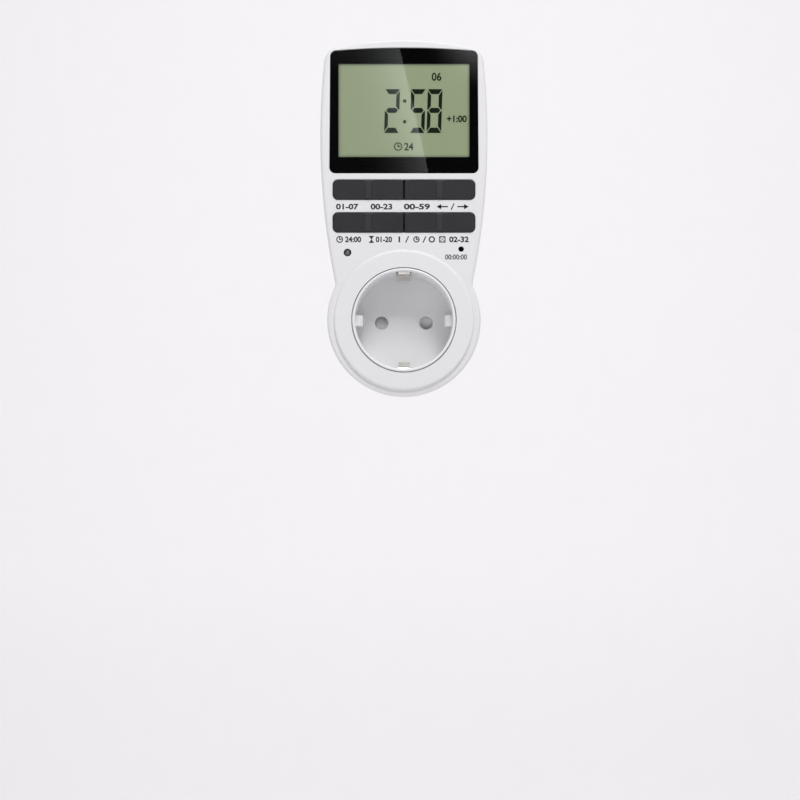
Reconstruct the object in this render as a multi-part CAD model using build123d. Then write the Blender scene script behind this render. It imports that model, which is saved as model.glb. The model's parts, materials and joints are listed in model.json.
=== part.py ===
from build123d import *
import math
import os

# Plug in timer switch, millimetres. The origin is the centre of the plug boss's end face.
# +X is right and +Z is up, seen from the front. The front faces -Y and the plug pins point along +Y.

# Socket recess, of standard size: the round lower end of the housing follows it
RECESS_RADIUS = 20.0
RECESS_DEPTH = 17.5           # from the front of the raised disc
RIM_WIDTH = 1.15              # visible rim ring
RIM_PROUD = 0.2
RIM_EDGE_RADIUS = 0.5
RIM_GROOVE = 0.35             # dark gap round the rim
TUBE_WALL = 2.4               # recess wall behind the panel
FLANGE_LIP = 2.0
FLANGE_THICKNESS = 1.5
FLANGE_ROOM = 2.0             # between the flange and the wall of the raised disc
RIB_WIDTH = 4.4               # guide ribs at three and nine o'clock
RIB_HEIGHT = 3.0
RIB_SET_BACK = 4.0
RIB_CHAMFER = 1.2
SLOT_WIDTH = 6.2              # slots for the earth hooks at twelve and six o'clock
SLOT_FRONT_WALL = 2.3
FLOOR_THICKNESS = 2.5
HOLE_RADIUS = 2.75            # pin holes of the socket
HOLE_CHAMFER = 0.5
EAR_RADIUS = 3.1              # ears that clamp collar, floor and carrier to the front cover
EAR_THICKNESS = 3.5
EAR_CLEARANCE = 0.2

# Housing outline, seen from the front
DISC_MARGIN = 2.9             # from the raised disc to the round lower end
HALF_WIDTH = 34.3            # at the widest height
WIDEST_Z = 75.5
SIDE_RADIUS = 300.0           # bowed sides
TOP_Z = 115.3
TOP_RADIUS = 123.0            # arched top
TOP_CORNER_RADIUS = 7.0
NECK_FILLET = 4.0             # where the tall body meets the round end

# Housing depths, along Y
HOUSING_DEPTH = 42.0          # from the back of the housing to its flat front face
REAR_DEPTH = 23.0             # from the back to the joint between the two covers
WALL = 2.2
BACK_EDGE_RADIUS = 2.3
FRONT_EDGE_RADIUS = 1.5
SEAM_CHAMFER = 0.35
LIP_HEIGHT = 1.5              # lip of the rear cover inside the front cover
LIP_CLEARANCE = 0.1
DISC_HEIGHT = 1.5             # raised collar disc round the recess
DISC_EDGE_RADIUS = 0.9
DISC_FOOT_RADIUS = 0.4

# Plug boss, pins and earth contacts of the plug side
BOSS_LENGTH = 17.0            # from its end face to the back of the housing
BOSS_RADIUS = 18.5
BOSS_WALL = 4.1
BOSS_END = 3.0
BOSS_EDGE_RADIUS = 0.8
BOSS_FLANGE_LIP = 2.0         # the boss is held by a flange inside the rear cover
BOSS_FLANGE_THICKNESS = 1.6
BOSS_CLEARANCE = 0.05
PIN_SPACING = 19.0
PIN_RADIUS = 2.4
PIN_LENGTH = 19.0
PIN_TIP_RADIUS = 1.5
PIN_SEAT_RADIUS = 2.8         # thicker stretch inside the boss end
PIN_HEAD_RADIUS = 3.4
PIN_HEAD_THICKNESS = 2.0
PIN_TAIL_RADIUS = 2.0
PIN_SEAT_CLEARANCE = 0.03
NOTCH_WIDTH = 5.4             # side notches for the guide ribs of a wall socket
NOTCH_DEPTH = 1.9
EARTH_GROOVE_WIDTH = 6.0
EARTH_GROOVE_DEPTH = 1.2
EARTH_GROOVE_ROOM = 1.1       # from the earth bar to the end of the groove
EARTH_STRIP_WIDTH = 5.0
EARTH_STRIP_THICKNESS = 0.8
EARTH_STRIP_START = 1.8       # from the boss end to the tip of the strip
EARTH_BAR_SET = 3.5           # from the back of the housing to the bar that crosses the boss
EARTH_PIN_Z = 10.0            # hole for the earth pin of a wall socket
EARTH_PIN_HOLE_RADIUS = 2.9
EARTH_SLEEVE_RADIUS = 3.4
EARTH_SLEEVE_BORE = 2.5
EARTH_PAD_RADIUS = 4.6
EARTH_LINK_Z = -7.5

# Earth hooks in the recess
HOOK_THICKNESS = 0.6
HOOK_WIDTH = 4.8
HOOK_LEG_INSET = 0.5          # leg inside the outer face of the recess wall
HOOK_SET_BACK = 3.1           # from the front of the raised disc
HOOK_LIP_INSET = 0.4          # these three from the recess wall inward
HOOK_BOW_INSET = 2.9
HOOK_END_INSET = 0.6
HOOK_BOW_LENGTH = 6.4
HOOK_END_GAP = 2.5            # from the end of the hook to the floor

# Contact carrier, clips and shutter
CARRIER_GAP = 0.6             # between the carrier and the legs of the earth hooks
CARRIER_ROOM = 5.2            # between the carrier and the back wall
SHUTTER_ROOM = 4.0            # depth of the pocket that the shutter turns in
SHUTTER_POCKET_GAP = 0.6
SHUTTER_THICKNESS = 3.2
SHUTTER_WIDTH = 6.8
SHUTTER_RAMP = 1.7
SHUTTER_GAP = 0.3             # behind the floor
HUB_RADIUS = 4.4
PIVOT_RADIUS = 2.0
PIVOT_CLEARANCE = 0.08
PEG_X = 1.2
PEG_INSET = 2.9               # from the wall of the shutter pocket
PEG_RADIUS = 0.7
SPRING_THICKNESS = 0.4
SPRING_WIDTH = 2.0
CLIP_ROOM_MARGIN = 1.4        # each clip stands in a square pocket
CLIP_WIDTH = 8.0
CLIP_THICKNESS = 0.8
CLIP_HALF_SPAN = 3.6
CLIP_PINCH = 2.35
CLIP_SHORTFALL = 0.5          # from the mouth of a clip to the shutter pocket
STRIP_WIDTH = 5.0             # brass strips from pins and clips to the power board
STRIP_THICKNESS = 0.8
LIVE_TAIL_SET = 1.5           # from the earth bar to the tail of the live pin
LIVE_STRIP_Z = 6.4
STRIP_LAP = 4.0               # strips reach this far up the power board

# Display window
WINDOW_BOTTOM_Z = 60.0
WINDOW_TOP_MARGIN = 3.7
WINDOW_SIDE_MARGIN = 3.7
WINDOW_TAPER = 0.4
WINDOW_TOP_RADIUS = 340.0
WINDOW_CORNER = 2.5
LENS_THICKNESS = 1.5
LENS_GAP = 0.12
LENS_SET_BACK = 0.1
MASK_THICKNESS = 0.3
LEDGE_DEPTH = 1.1             # ledge that the mask rests on
LEDGE_MARGIN = 1.0
GLASS_SIDE_MARGIN = 2.6       # glass inside the window
GLASS_BOTTOM_MARGIN = 5.0
GLASS_TOP_MARGIN = 5.1
GLASS_THICKNESS = 2.2
GLASS_CLEARANCE = 0.2
VIEW_SIDE_MARGIN = 1.1        # visible part of the glass
VIEW_BOTTOM_MARGIN = 2.05
VIEW_TOP_MARGIN = 1.15
VIEW_CORNER = 0.6
HOLDER_WALL = 1.3
DIFFUSER_THICKNESS = 1.0
DIFFUSER_INSET = 4.0
CONTACT_STRIP_HEIGHT = 1.8
CONTACT_STRIP_INSET = 4.0

# Rocker keys, two caps in each row
ROW_DROP = 6.65               # from the window down to the upper row
ROW_PITCH = 13.4
ROW_SIDE_MARGIN = 5.3
ROW_CENTRE_GAP = 0.5
KEY_HEIGHT = 7.95
KEY_GAP = 0.25
KEY_CORNER = 2.0
KEY_INNER_CORNER = 0.5
KEY_PROUD = 0.6
KEY_SKIRT_DEPTH = 4.2
KEY_WALL = 1.0
KEY_TOP = 1.3
KEY_EDGE_RADIUS = 0.45
KEY_DISH_RADIUS = 60.0
KEY_DISH_DEPTH = 0.25
KEY_BAND_WIDTH = 2.4
KEY_BAND_HEIGHT = 0.3
PRESS_OFFSET = 7.2            # from the pivot to each press point
STEM_RADIUS = 1.7
TRUNNION_RADIUS = 0.9
TRUNNION_LENGTH = 1.4
TRUNNION_CLEARANCE = 0.08
TRUNNION_DEPTH = 3.3
LUG_THICKNESS = 1.4
LUG_HALF_WIDTH = 2.2
LUG_DEPTH = 2.4

# Keypad mat and display board
BOARD_THICKNESS = 1.6
DISPLAY_BOARD_DEPTH = 8.0     # from the front face
DISPLAY_BOARD_GAP = 1.6       # between the board and the recess wall
BOARD_TOP_MARGIN = 6.3
BOARD_EDGE_GAP = 0.6
MAT_THICKNESS = 1.0
MAT_MARGIN = 0.7
DOME_HEIGHT = 2.2
DOME_BASE_RADIUS = 3.2
DOME_TOP_RADIUS = 2.1
DOME_GAP = 0.1                # between a stem and its dome
STANDOFF_INSET = 3.0          # upper pair, from the ends of the key rows
LOWER_STANDOFF_X = 14.0
LOWER_STANDOFF_DROP = 9.1
STANDOFF_RADIUS = 2.2
STANDOFF_END = 1.0            # solid stretch between a standoff's bore and the panel
BOARD_SCREW_RADIUS = 0.95
BOARD_SCREW_HEAD_RADIUS = 1.9
BOARD_SCREW_HEAD = 1.2
BOARD_SCREW_TIP_ROOM = 1.4
SCREW_CLEARANCE = 0.05
SHANK_CLEARANCE = 0.2

# Indicator light and reset
LIGHT_SIDE_MARGIN = 11.2
LIGHT_DROP = 12.3             # below the lower row
LIGHT_HOLE_RADIUS = 1.6
LIGHT_GAP = 0.15
LIGHT_SET_BACK = 0.4
LIGHT_FLANGE_LIP = 0.35
LIGHT_BODY_LENGTH = 5.0
RESET_SIDE_MARGIN = 10.9
RESET_DROP = 10.85
RESET_HOLE_RADIUS = 1.15
RESET_GAP = 0.2
RESET_SET_BACK = 1.4
RESET_SWITCH_SIZE = 6.0
RESET_SWITCH_HEIGHT = 3.5
RESET_BORE_CLEARANCE = 0.1
RESET_BORE_DEPTH = 1.0
RESET_INSERTION = 0.6

# Screws that join the covers, and their pillars
PILLAR_RADIUS = 3.1
PILLAR_SIDE_GAP = 0.95        # upper pair, from the side walls
PILLAR_KEY_GAP = 0.175        # and above the upper key opening
PILLAR_TUBE_GAP = 0.3         # lower pair, outside the recess wall
PILLAR_ANGLE = 50.0           # below the horizontal
PILLAR_END = 4.0              # from the front face to the end of the screw bores
WELL_RADIUS = 3.1
WELL_DEPTH = 9.0
WELL_WALL = 1.1
HOUSING_SCREW_RADIUS = 1.4
HOUSING_SCREW_HEAD_RADIUS = 2.7
HOUSING_SCREW_HEAD = 2.0
HOUSING_SCREW_TIP_ROOM = 5.0
CARRIER_SCREW_RADIUS = 1.25
CARRIER_SCREW_HEAD_RADIUS = 2.6
CARRIER_SCREW_HEAD = 1.8
CARRIER_SCREW_TIP_ROOM = 4.0

# Power board and its components
POWER_BOARD_SET = 5.0         # from the back of the housing
POWER_BOARD_GAP = 4.6         # between the board and the recess wall
LOWER_POST = (19.0, 50.0)
UPPER_POST_SIDE_MARGIN = 10.35
UPPER_POST_TOP_MARGIN = 13.3
POWER_POST_RADIUS = 2.6
POWER_SCREW_RADIUS = 1.2
POWER_SCREW_HEAD_RADIUS = 2.2
POWER_SCREW_HEAD = 1.4
POWER_SCREW_TIP_ROOM = 1.9
RELAY_SIZE = (29.0, 15.7, 12.7)
RELAY_AT = (1.0, 40.5)
FILM_CAPACITOR_SIZE = (18.0, 14.5, 8.5)
FILM_CAPACITOR_AT = (-3.0, 62.0)
VARISTOR_RADIUS = 5.5
VARISTOR_THICKNESS = 4.0
VARISTOR_MARGIN = 19.05       # these four from the right edge of their board
VARISTOR_Z = 74.0
LEAD_RADIUS = 0.4
LEAD_HEIGHT = 2.0
ELECTROLYTIC_RADIUS = 4.0
ELECTROLYTIC_HEIGHT = 11.5
ELECTROLYTIC_MARGIN = 16.05
ELECTROLYTIC_Z = 88.0
RESISTOR_RADIUS = 1.2
RESISTOR_LENGTH = 7.0
RESISTOR_MARGIN = 19.05       # from the left edge
RESISTOR_ROWS = (76.0, 80.5, 85.0, 89.5)
CELL_RADIUS = 7.75
CELL_THICKNESS = 6.0
CELL_MARGIN = 17.05
CELL_Z = 86.0
TAB_THICKNESS = 0.3
TAB_WIDTH = 4.0
CHIP_RADIUS = 6.5
CHIP_HEIGHT = 1.6
CHIP_MARGIN = 23.05           # this and the crystal from the left edge
CHIP_Z = 78.0
CRYSTAL_RADIUS = 1.0
CRYSTAL_LENGTH = 6.0
CRYSTAL_DROP = 12.0           # below the controller
RIBBON_WIDTH = 12.5
RIBBON_THICKNESS = 1.0
RIBBON_INSET = 11.0           # from the top of the display board
RIBBON_STEP = 3.0             # half the rise from one board to the other

# Places that follow from the sizes above: depths
BACK_Y = -BOSS_LENGTH
PARTING_Y = BACK_Y - REAR_DEPTH
FACE_Y = BACK_Y - HOUSING_DEPTH
DISC_Y = FACE_Y - DISC_HEIGHT
PANEL_INNER_Y = FACE_Y + WALL
DISC_INNER_Y = DISC_Y + WALL
FLOOR_FRONT_Y = DISC_Y + RECESS_DEPTH
FLOOR_BACK_Y = FLOOR_FRONT_Y + FLOOR_THICKNESS
POCKET_Y = FLOOR_BACK_Y + SHUTTER_ROOM
CARRIER_BACK_Y = BACK_Y - WALL - CARRIER_ROOM
BASE_BACK_Y = CARRIER_BACK_Y + CLIP_THICKNESS
CLIP_LENGTH = CARRIER_BACK_Y - POCKET_Y - CLIP_SHORTFALL
EARTH_BAR_Y = BACK_Y + EARTH_BAR_SET
EARTH_GROOVE_END = EARTH_BAR_Y - EARTH_GROOVE_ROOM
LIVE_TAIL_Y = EARTH_BAR_Y + LIVE_TAIL_SET
HOOK_FRONT_Y = DISC_Y + HOOK_SET_BACK
HOOK_BOW_Y = HOOK_FRONT_Y + HOOK_BOW_LENGTH
HOOK_END_Y = FLOOR_FRONT_Y - HOOK_END_GAP
DISPLAY_BOARD_FRONT = FACE_Y + DISPLAY_BOARD_DEPTH
DISPLAY_BOARD_BACK = DISPLAY_BOARD_FRONT + BOARD_THICKNESS
POWER_BOARD_BACK = BACK_Y - POWER_BOARD_SET
POWER_BOARD_FRONT = POWER_BOARD_BACK - BOARD_THICKNESS
LENS_FRONT_Y = FACE_Y + LENS_SET_BACK
LENS_BACK_Y = LENS_FRONT_Y + LENS_THICKNESS
MASK_BACK_Y = LENS_BACK_Y + MASK_THICKNESS
LEDGE_BACK_Y = MASK_BACK_Y + LEDGE_DEPTH
GLASS_BACK_Y = MASK_BACK_Y + GLASS_THICKNESS
KEY_FACE_Y = FACE_Y - KEY_PROUD
KEY_SKIRT_Y = FACE_Y + KEY_SKIRT_DEPTH
TRUNNION_Y = FACE_Y + TRUNNION_DEPTH
MAT_FRONT_Y = DISPLAY_BOARD_FRONT - MAT_THICKNESS
DOME_TOP_Y = MAT_FRONT_Y - DOME_HEIGHT
PILLAR_TOP_Y = FACE_Y + PILLAR_END
WELL_FLOOR_Y = BACK_Y - WELL_DEPTH
STANDOFF_BORE_Y = PANEL_INNER_Y + STANDOFF_END

# Widths and heights that follow
RIM_RADIUS = RECESS_RADIUS + RIM_WIDTH
TUBE_RADIUS = RECESS_RADIUS + TUBE_WALL
FLANGE_RADIUS = TUBE_RADIUS + FLANGE_LIP
DISC_CORE_RADIUS = FLANGE_RADIUS + FLANGE_ROOM
DISC_RADIUS = DISC_CORE_RADIUS + WALL
SOCKET_END_RADIUS = DISC_RADIUS + DISC_MARGIN
EAR_X = SOCKET_END_RADIUS - WALL - EAR_CLEARANCE - EAR_RADIUS
HOOK_LEG_Z = TUBE_RADIUS - HOOK_LEG_INSET
HOOK_LIP_Z = RECESS_RADIUS - HOOK_LIP_INSET
HOOK_BOW_Z = RECESS_RADIUS - HOOK_BOW_INSET
HOOK_END_Z = RECESS_RADIUS - HOOK_END_INSET
CARRIER_RADIUS = HOOK_LEG_Z - HOOK_THICKNESS / 2 - CARRIER_GAP
PIN_X = PIN_SPACING / 2
SHUTTER_POCKET_RADIUS = PIN_X + SHUTTER_WIDTH / 2 + SHUTTER_POCKET_GAP
PEG_Z = PEG_INSET - SHUTTER_POCKET_RADIUS
BOSS_BORE_RADIUS = BOSS_RADIUS - BOSS_WALL
EARTH_GROOVE_RADIUS = BOSS_RADIUS - EARTH_GROOVE_DEPTH
WINDOW_TOP_Z = TOP_Z - WINDOW_TOP_MARGIN
WINDOW_HALF_BOTTOM = HALF_WIDTH - WINDOW_SIDE_MARGIN
WINDOW_HALF_TOP = WINDOW_HALF_BOTTOM - WINDOW_TAPER
GLASS_HALF_WIDTH = WINDOW_HALF_BOTTOM - GLASS_SIDE_MARGIN
GLASS_BOTTOM_Z = WINDOW_BOTTOM_Z + GLASS_BOTTOM_MARGIN
GLASS_TOP_Z = WINDOW_TOP_Z - GLASS_TOP_MARGIN
VIEW_HALF_WIDTH = GLASS_HALF_WIDTH - VIEW_SIDE_MARGIN
VIEW_BOTTOM_Z = GLASS_BOTTOM_Z + VIEW_BOTTOM_MARGIN
VIEW_TOP_Z = GLASS_TOP_Z - VIEW_TOP_MARGIN
UPPER_ROW_Z = WINDOW_BOTTOM_Z - ROW_DROP
LOWER_ROW_Z = UPPER_ROW_Z - ROW_PITCH
ROW_Z = (UPPER_ROW_Z, LOWER_ROW_Z)
ROW_HALF_WIDTH = HALF_WIDTH - ROW_SIDE_MARGIN
KEY_CENTRE_X = (ROW_HALF_WIDTH + ROW_CENTRE_GAP / 2) / 2
KEY_LENGTH = ROW_HALF_WIDTH - ROW_CENTRE_GAP / 2
STANDOFF_POINTS = (
    (ROW_HALF_WIDTH - STANDOFF_INSET, (UPPER_ROW_Z + LOWER_ROW_Z) / 2),
    (LOWER_STANDOFF_X, LOWER_ROW_Z - LOWER_STANDOFF_DROP),
)
LIGHT_X = LIGHT_SIDE_MARGIN - HALF_WIDTH
LIGHT_Z = LOWER_ROW_Z - LIGHT_DROP
LIGHT_RADIUS = LIGHT_HOLE_RADIUS - LIGHT_GAP
RESET_X = HALF_WIDTH - RESET_SIDE_MARGIN
RESET_Z = LOWER_ROW_Z - RESET_DROP
RESET_RADIUS = RESET_HOLE_RADIUS - RESET_GAP
PILLAR_DISTANCE = TUBE_RADIUS + PILLAR_RADIUS + PILLAR_TUBE_GAP
LOWER_PILLAR = (
    PILLAR_DISTANCE * math.cos(math.radians(PILLAR_ANGLE)),
    -PILLAR_DISTANCE * math.sin(math.radians(PILLAR_ANGLE)),
)
UPPER_PILLAR = (
    HALF_WIDTH - WALL - PILLAR_SIDE_GAP - PILLAR_RADIUS,
    UPPER_ROW_Z + KEY_HEIGHT / 2 + KEY_GAP + PILLAR_KEY_GAP + PILLAR_RADIUS,
)
PILLAR_POINTS = (UPPER_PILLAR, LOWER_PILLAR)
WELL_POST_RADIUS = WELL_RADIUS + WELL_WALL
DISPLAY_BOARD_BOTTOM_Z = TUBE_RADIUS + DISPLAY_BOARD_GAP
POWER_BOARD_BOTTOM_Z = TUBE_RADIUS + POWER_BOARD_GAP
BOARD_TOP_Z = TOP_Z - BOARD_TOP_MARGIN
BOARD_HALF_WIDTH = HALF_WIDTH - WALL - BOARD_EDGE_GAP
POWER_POSTS = (LOWER_POST, (HALF_WIDTH - UPPER_POST_SIDE_MARGIN, TOP_Z - UPPER_POST_TOP_MARGIN))
STRIP_END_Z = POWER_BOARD_BOTTOM_Z + STRIP_LAP
VARISTOR_AT = (BOARD_HALF_WIDTH - VARISTOR_MARGIN, VARISTOR_Z)
ELECTROLYTIC_AT = (BOARD_HALF_WIDTH - ELECTROLYTIC_MARGIN, ELECTROLYTIC_Z)
RESISTOR_X = RESISTOR_MARGIN - BOARD_HALF_WIDTH
CELL_AT = (BOARD_HALF_WIDTH - CELL_MARGIN, CELL_Z)
CHIP_AT = (CHIP_MARGIN - BOARD_HALF_WIDTH, CHIP_Z)
CRYSTAL_AT = (CHIP_AT[0], CHIP_Z - CRYSTAL_DROP)
RIBBON_FRONT_Z = BOARD_TOP_Z - RIBBON_INSET


def slab(shape, back, front):
    """Solid of a flat shape drawn in X and Z, from the plane y = back forward to y = front."""
    return extrude(Plane.XZ.offset(-back) * shape, back - front)


def rod(x, z, radius, back, front):
    """Round solid along Y."""
    return slab(Pos(x, z) * Circle(radius), back, front)


def block(x0, x1, z0, z1, back, front):
    """Box between two X values, two Z values and two Y values."""
    return slab(Pos((x0 + x1) / 2, (z0 + z1) / 2) * Rectangle(x1 - x0, z1 - z0), back, front)


def bent_strip(points, radii, thickness, width, plane):
    """Sheet metal strip: a bent centre line in the plane, given its thickness and width."""
    line = FilletPolyline(*points, radius=radii)
    return extrude(plane * trace(line, thickness), width / 2, both=True)


def mirrored_points(points):
    """Each point and its mate on the other side of the middle."""
    return [(side * x, z) for x, z in points for side in (-1, 1)]


def outline(inset=0.0):
    """Housing seen from the front: bowed sides and an arched top over a round lower end."""
    side_shift = SIDE_RADIUS - HALF_WIDTH
    shape = Pos(-side_shift, WIDEST_Z) * Circle(SIDE_RADIUS - inset)
    shape &= Pos(side_shift, WIDEST_Z) * Circle(SIDE_RADIUS - inset)
    shape &= Pos(0, TOP_Z - TOP_RADIUS) * Circle(TOP_RADIUS - inset)
    shape &= Pos(0, TOP_Z / 2) * Rectangle(3 * HALF_WIDTH, TOP_Z)
    shape += Circle(SOCKET_END_RADIUS - inset)
    corners = [v for v in shape.vertices() if v.Y > TOP_Z * 0.75]
    shape = fillet(corners, TOP_CORNER_RADIUS - inset)
    necks = [v for v in shape.vertices() if 2 < v.Y < WIDEST_Z / 2]
    return fillet(necks, NECK_FILLET + inset)


def band(shape, low, high):
    """Part of a flat shape between two heights."""
    return shape & (Pos(0, (low + high) / 2) * Rectangle(4 * HALF_WIDTH, high - low))


def window(inset):
    """Window outline: slanted sides and an arched top, with rounded corners."""
    shape = Polygon(
        (-WINDOW_HALF_BOTTOM + inset, WINDOW_BOTTOM_Z + inset),
        (WINDOW_HALF_BOTTOM - inset, WINDOW_BOTTOM_Z + inset),
        (WINDOW_HALF_TOP - inset, TOP_Z),
        (-WINDOW_HALF_TOP + inset, TOP_Z),
        align=None,
    )
    shape &= Pos(0, WINDOW_TOP_Z - WINDOW_TOP_RADIUS) * Circle(WINDOW_TOP_RADIUS - inset)
    return fillet(shape.vertices(), WINDOW_CORNER - inset)


def view_opening():
    """Visible part of the display glass."""
    height = VIEW_TOP_Z - VIEW_BOTTOM_Z
    middle = (VIEW_TOP_Z + VIEW_BOTTOM_Z) / 2
    return Pos(0, middle) * RectangleRounded(2 * VIEW_HALF_WIDTH, height, VIEW_CORNER)


def glass_block(margin, back, front):
    """Space of the display glass with a margin all round."""
    half = GLASS_HALF_WIDTH + margin
    return block(-half, half, GLASS_BOTTOM_Z - margin, GLASS_TOP_Z + margin, back, front)


def key_outline(grow=0.0):
    """Right-hand key cap seen from the front, with its inner end at the left."""
    shape = Rectangle(KEY_LENGTH + 2 * grow, KEY_HEIGHT + 2 * grow)
    outer = [v for v in shape.vertices() if v.X > 0]
    shape = fillet(outer, KEY_CORNER + grow)
    inner = [v for v in shape.vertices() if v.X < -KEY_LENGTH / 2 - grow + 0.01]
    return fillet(inner, KEY_INNER_CORNER)


def row_opening(row_z):
    """Opening in the front panel for the two caps of one row."""
    width = 2 * (ROW_HALF_WIDTH + KEY_GAP)
    return Pos(0, row_z) * RectangleRounded(width, KEY_HEIGHT + 2 * KEY_GAP, KEY_CORNER + KEY_GAP)


def lug(x, z, direction):
    """Lug behind the panel with an open slot for one trunnion."""
    near = z + direction * (KEY_HEIGHT / 2 + KEY_GAP)
    far = near + direction * LUG_THICKNESS
    low, high = min(near, far), max(near, far)
    solid = block(x - LUG_HALF_WIDTH, x + LUG_HALF_WIDTH, low, high, PANEL_INNER_Y + LUG_DEPTH, PANEL_INNER_Y)
    slot_radius = TRUNNION_RADIUS + TRUNNION_CLEARANCE
    slot = Pos(x, TRUNNION_Y, (low + high) / 2) * Cylinder(slot_radius, LUG_THICKNESS * 2)
    throat = block(x - slot_radius, x + slot_radius, low, high, PANEL_INNER_Y + LUG_DEPTH, TRUNNION_Y)
    return solid - slot - throat


def front_cover():
    """White front shell with the window seat, key openings, raised disc, pillars and lugs."""
    shell = slab(outline(), PARTING_Y, FACE_Y)
    shell = fillet(shell.faces().sort_by(Axis.Y)[0].edges(), FRONT_EDGE_RADIUS)
    shell = chamfer(shell.faces().sort_by(Axis.Y)[-1].edges(), SEAM_CHAMFER)
    disc = rod(0, 0, DISC_RADIUS, FACE_Y, DISC_Y)
    disc = fillet(disc.faces().sort_by(Axis.Y)[0].edges(), DISC_EDGE_RADIUS)
    shell += disc
    foot = [
        e for e in shell.edges().filter_by(GeomType.CIRCLE)
        if abs(e.radius - DISC_RADIUS) < 0.01 and abs(e.center().Y - FACE_Y) < 0.01
    ]
    shell = fillet(foot, DISC_FOOT_RADIUS)
    shell -= slab(outline(WALL), PARTING_Y, PANEL_INNER_Y)
    shell -= rod(0, 0, DISC_CORE_RADIUS, PANEL_INNER_Y, DISC_INNER_Y)
    shell -= slab(outline(WALL / 2), PARTING_Y, PARTING_Y - LIP_HEIGHT - LIP_CLEARANCE)
    ledge = band(outline(WALL / 2), WINDOW_BOTTOM_Z - LEDGE_MARGIN, TOP_Z)
    shell += slab(ledge, LEDGE_BACK_Y, PANEL_INNER_Y)
    for x, z in mirrored_points(PILLAR_POINTS):
        shell += rod(x, z, PILLAR_RADIUS, PARTING_Y, PANEL_INNER_Y)
    for x in (-EAR_X, EAR_X):
        shell += rod(x, 0, EAR_RADIUS, FLOOR_FRONT_Y - EAR_THICKNESS, DISC_INNER_Y)
    for x, z in mirrored_points(STANDOFF_POINTS):
        shell += rod(x, z, STANDOFF_RADIUS, DISPLAY_BOARD_FRONT, PANEL_INNER_Y)
    for row_z in ROW_Z:
        for x in (-KEY_CENTRE_X, KEY_CENTRE_X):
            shell += lug(x, row_z, 1) + lug(x, row_z, -1)
    shell -= slab(window(0), MASK_BACK_Y, FACE_Y - DISC_HEIGHT)
    shell -= glass_block(GLASS_CLEARANCE, LEDGE_BACK_Y, MASK_BACK_Y)
    for row_z in ROW_Z:
        shell -= slab(row_opening(row_z), PANEL_INNER_Y, FACE_Y)
    shell -= rod(LIGHT_X, LIGHT_Z, LIGHT_HOLE_RADIUS, PANEL_INNER_Y, FACE_Y)
    shell -= rod(RESET_X, RESET_Z, RESET_HOLE_RADIUS, PANEL_INNER_Y, FACE_Y)
    shell -= rod(0, 0, RIM_RADIUS + RIM_GROOVE, PANEL_INNER_Y, DISC_Y)
    for x, z in mirrored_points(PILLAR_POINTS):
        shell -= rod(x, z, HOUSING_SCREW_RADIUS + SCREW_CLEARANCE, PARTING_Y, PILLAR_TOP_Y)
    for x in (-EAR_X, EAR_X):
        bore = CARRIER_SCREW_RADIUS + SCREW_CLEARANCE
        shell -= rod(x, 0, bore, FLOOR_FRONT_Y - EAR_THICKNESS, PILLAR_TOP_Y)
    for x, z in mirrored_points(STANDOFF_POINTS):
        bore = BOARD_SCREW_RADIUS + SCREW_CLEARANCE
        shell -= rod(x, z, bore, DISPLAY_BOARD_FRONT, STANDOFF_BORE_Y)
    return shell


def rear_cover():
    """White rear shell with the hole for the plug boss, screw wells and board posts."""
    shell = slab(outline(), BACK_Y, PARTING_Y)
    shell = fillet(shell.faces().sort_by(Axis.Y)[-1].edges(), BACK_EDGE_RADIUS)
    shell = chamfer(shell.faces().sort_by(Axis.Y)[0].edges(), SEAM_CHAMFER)
    shell += slab(outline(WALL / 2 + LIP_CLEARANCE), PARTING_Y, PARTING_Y - LIP_HEIGHT)
    shell -= slab(outline(WALL), BACK_Y - WALL, PARTING_Y - LIP_HEIGHT)
    shell -= rod(0, 0, BOSS_RADIUS + BOSS_CLEARANCE, BACK_Y, BACK_Y - WALL)
    for x, z in mirrored_points(PILLAR_POINTS):
        shell += rod(x, z, WELL_POST_RADIUS, BACK_Y - WALL, WELL_FLOOR_Y - WALL)
        shell += rod(x, z, PILLAR_RADIUS, WELL_FLOOR_Y - WALL, PARTING_Y)
        shell -= rod(x, z, WELL_RADIUS, BACK_Y, WELL_FLOOR_Y)
        shell -= rod(x, z, HOUSING_SCREW_RADIUS + SHANK_CLEARANCE, WELL_FLOOR_Y, PARTING_Y)
    for x, z in mirrored_points(POWER_POSTS):
        shell += rod(x, z, POWER_POST_RADIUS, BACK_Y - WALL, POWER_BOARD_BACK)
        shell -= rod(x, z, POWER_SCREW_RADIUS + SCREW_CLEARANCE, BACK_Y - WALL / 2, POWER_BOARD_BACK)
    return shell


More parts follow.
